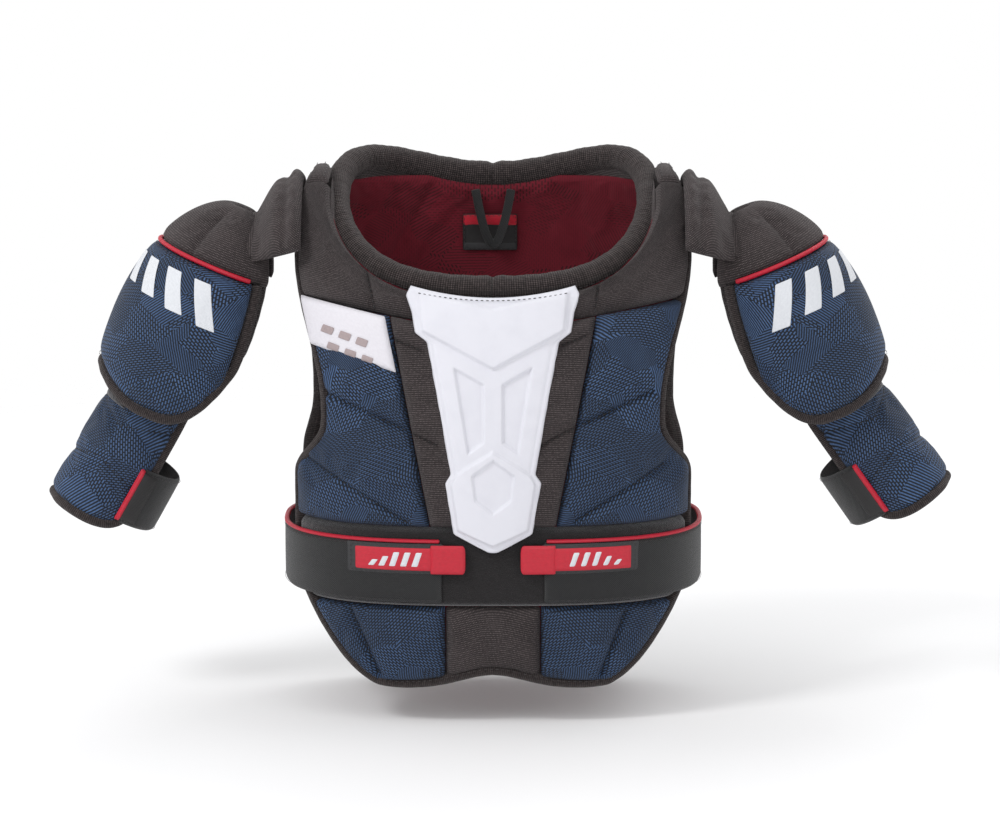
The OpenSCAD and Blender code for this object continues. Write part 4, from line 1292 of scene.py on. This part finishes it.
def make_guards():
    middle, half = (GUARD_TOP + GUARD_END) / 2, (GUARD_END - GUARD_TOP) / 2
    arc = math.radians(1) * GUARD_R
    for word, side in SIDES.items():
        body = "guard_" + word
        surface = lambda angle, a, d, side=side: guard_point(side, angle, a, d)

        def layer(name, wrap, inset, d0, d1, material, slot, node, seams=(), **extra):
            def chart(u, v):
                k = 2 * u - 1
                span = (half - inset) * (1 - np.abs(0.98 * k) ** 6) ** (1 / 6)
                return wrap * k + 0 * v, middle + span * (2 * v - 1)
            return pad(name, chart, surface, d0, d1, body, material, slot, [node], seams,
                       scale=(arc, 1), **extra)

        layer("guard_pad_" + word + "_cover", GUARD_WRAP - 3, 4, -3.2, 0.2, BLUE, "blue_fabric",
              "guard_pad_" + word, [[(-125, 58), (-62, 74), (0, 60), (62, 74), (125, 58)],
                                    [(-125, 118), (-62, 104), (0, 116), (62, 104), (125, 118)]],
              puff=1.2, edge=5, cell=2.7, groove=1.8)
        layer("guard_plate_" + word + "_shell", GUARD_WRAP - 8, 22, -3.9, -5.4, CUP, "inner_plastic",
              "guard_plate_" + word, puff=0.1, edge=1.2, cell=5, **FLAT)
        layer("guard_lining_" + word, GUARD_WRAP - 3, 4, -6.2, -8.6, LINING, "red_lining",
              "guard_liner_" + word, puff=1.2, cell=4.5)
        t = np.linspace(0, 360, 241)[:-1]
        bend = lambda s: np.sign(s) * np.abs(s) ** (1 / 3)
        angle = (GUARD_WRAP - 1) * bend(cosd(t))
        a = middle + (half - 2) * bend(sind(t))
        inner = guard_point(side, angle, a, -4.5 + 0 * a)
        ring = np.concatenate([inner, unit(guard_point(side, angle, a, 0 * a) - inner)], axis=1)
        ring = resample(ring, 2.2, closed=True, smoothing=2)
        tube("guard_binding_" + word + "_tape", ring[:, :3], unit(ring[:, 3:]), oval(4.2, 6.4, 16, 3.0), body,
             BINDING, ["guard_binding_" + word], closed=True)
        make_guard_straps(word, side, body, surface, arc)


def make_guard_straps(word, side, body, surface, arc):
    def band(name, on, a0, a1, low, high, d0, d1, material, slot, stands_for=(), **extra):
        options = dict(TAPE, scale=(arc, 1))
        options.update(extra)
        return pad(name, lambda u, v: (mix(a0, a1, u), mix(low, high, v)), surface, d0, d1, on, material,
                   slot, stands_for, **options)

    band("guard_loop_" + word + "_pile", body, -60, -18, 18, 60, 1.9, 3.6, LOOP, "loop_fabric",
         ["guard_loop_" + word], puff=0.6, edge=2)
    strap = "arm_strap_" + word
    band(strap + "_webbing", strap, -240, -112, 94, 144, 2.2, 4.4, WEBBING, "elastic", [strap])
    band(strap + "_hook", strap, -132, -110.5, 97, 141, 4.2, 5.4, BLACK_TAPE, "elastic")
    band(strap + "_tip", strap, -114.5, -108.5, 95, 143, 1.8, 5.6, RED_TAPE, "red_piping", edge=0.8)
    for a_line in (97.0, 141.0):
        angle = np.linspace(-238, -116, 80)
        line = guard_point(side, angle, a_line + 0 * angle, 4.7 + 0 * angle)
        above = guard_point(side, angle, a_line + 0 * angle, 5.7 + 0 * angle)
        stitch(strap, line, above - line, 2.6, 2.0, 0.3, "dark")


# ---- Studio ------------------------------------------------------------------------------------------
def add_light(name, place, size, power, target):
    data = bpy.data.lights.new(name, "AREA")
    data.shape = "RECTANGLE"
    data.size, data.size_y = size
    data.energy = power
    light = bpy.data.objects.new(name, data)
    scene.collection.objects.link(light)
    light.location = place
    light.rotation_euler = (Vector(target) - Vector(place)).to_track_quat("-Z", "Y").to_euler()


def make_studio():
    centre = Vector((0.0056, -0.100, 0.223))
    camera_data = bpy.data.cameras.new("camera")
    camera_data.lens = 135
    camera_data.sensor_width = 36
    camera = bpy.data.objects.new("camera", camera_data)
    scene.collection.objects.link(camera)
    camera.location = centre + Vector((0, -2.963, 0.469))
    camera.rotation_euler = (centre - camera.location).to_track_quat("-Z", "Y").to_euler()
    scene.camera = camera

    floor_z, floor_r, sides = -0.03, 2.2, 96
    turns = [2 * math.pi * k / sides for k in range(sides)]
    points = [(0, 0, floor_z)] + [(floor_r * math.cos(t), floor_r * math.sin(t), floor_z) for t in turns]
    faces = [(0, 1 + k, 1 + (k + 1) % sides) for k in range(sides)]
    mesh = bpy.data.meshes.new("floor")
    mesh.from_pydata(points, [], faces)
    paper = Look("floor_paper", 0.95, specular=0.1)
    tone = paper.noise(paper.object, 3.0, 3.0)
    parts = paper.node("SeparateXYZ", {"Vector": paper.object}).outputs
    away = paper.math("SQRT", paper.math("ADD", paper.math("MULTIPLY", parts[0], parts[0]),
                                         paper.math("MULTIPLY", parts[1], parts[1])))
    fade = paper.math("SUBTRACT", 1.0, paper.ramp(away, 0.8, 2.0))
    paper.links.new(fade, paper.shader.inputs["Alpha"])
    mesh.materials.append(paper.finish(paper.mix(tone, (0.86, 0.86, 0.87), (0.9, 0.9, 0.905))))
    floor = bpy.data.objects.new("floor", mesh)
    scene.collection.objects.link(floor)

    world = bpy.data.worlds.new("studio")
    scene.world = world
    world.use_nodes = True
    world.node_tree.nodes["Background"].inputs["Color"].default_value = (1, 1, 1, 1)
    world.node_tree.nodes["Background"].inputs["Strength"].default_value = 1.0
    add_light("key", (-1.5, -1.3, 2.0), (0.6, 0.6), 22, (0, 0, 0.2))
    add_light("rim", (1.2, 1.4, 1.6), (1.0, 1.0), 9, (0, 0, 0.2))
    scene.view_settings.view_transform = "Standard"


make_studio()
make_front()
make_plate()
make_patch()
make_back()
make_binding()
make_strips()
make_neck_band()
make_neck()
make_collar()
make_belts()
make_epaulets()
make_gussets()
make_caps()
make_guards()
make_stitches()
inflate_all()
settle_all()
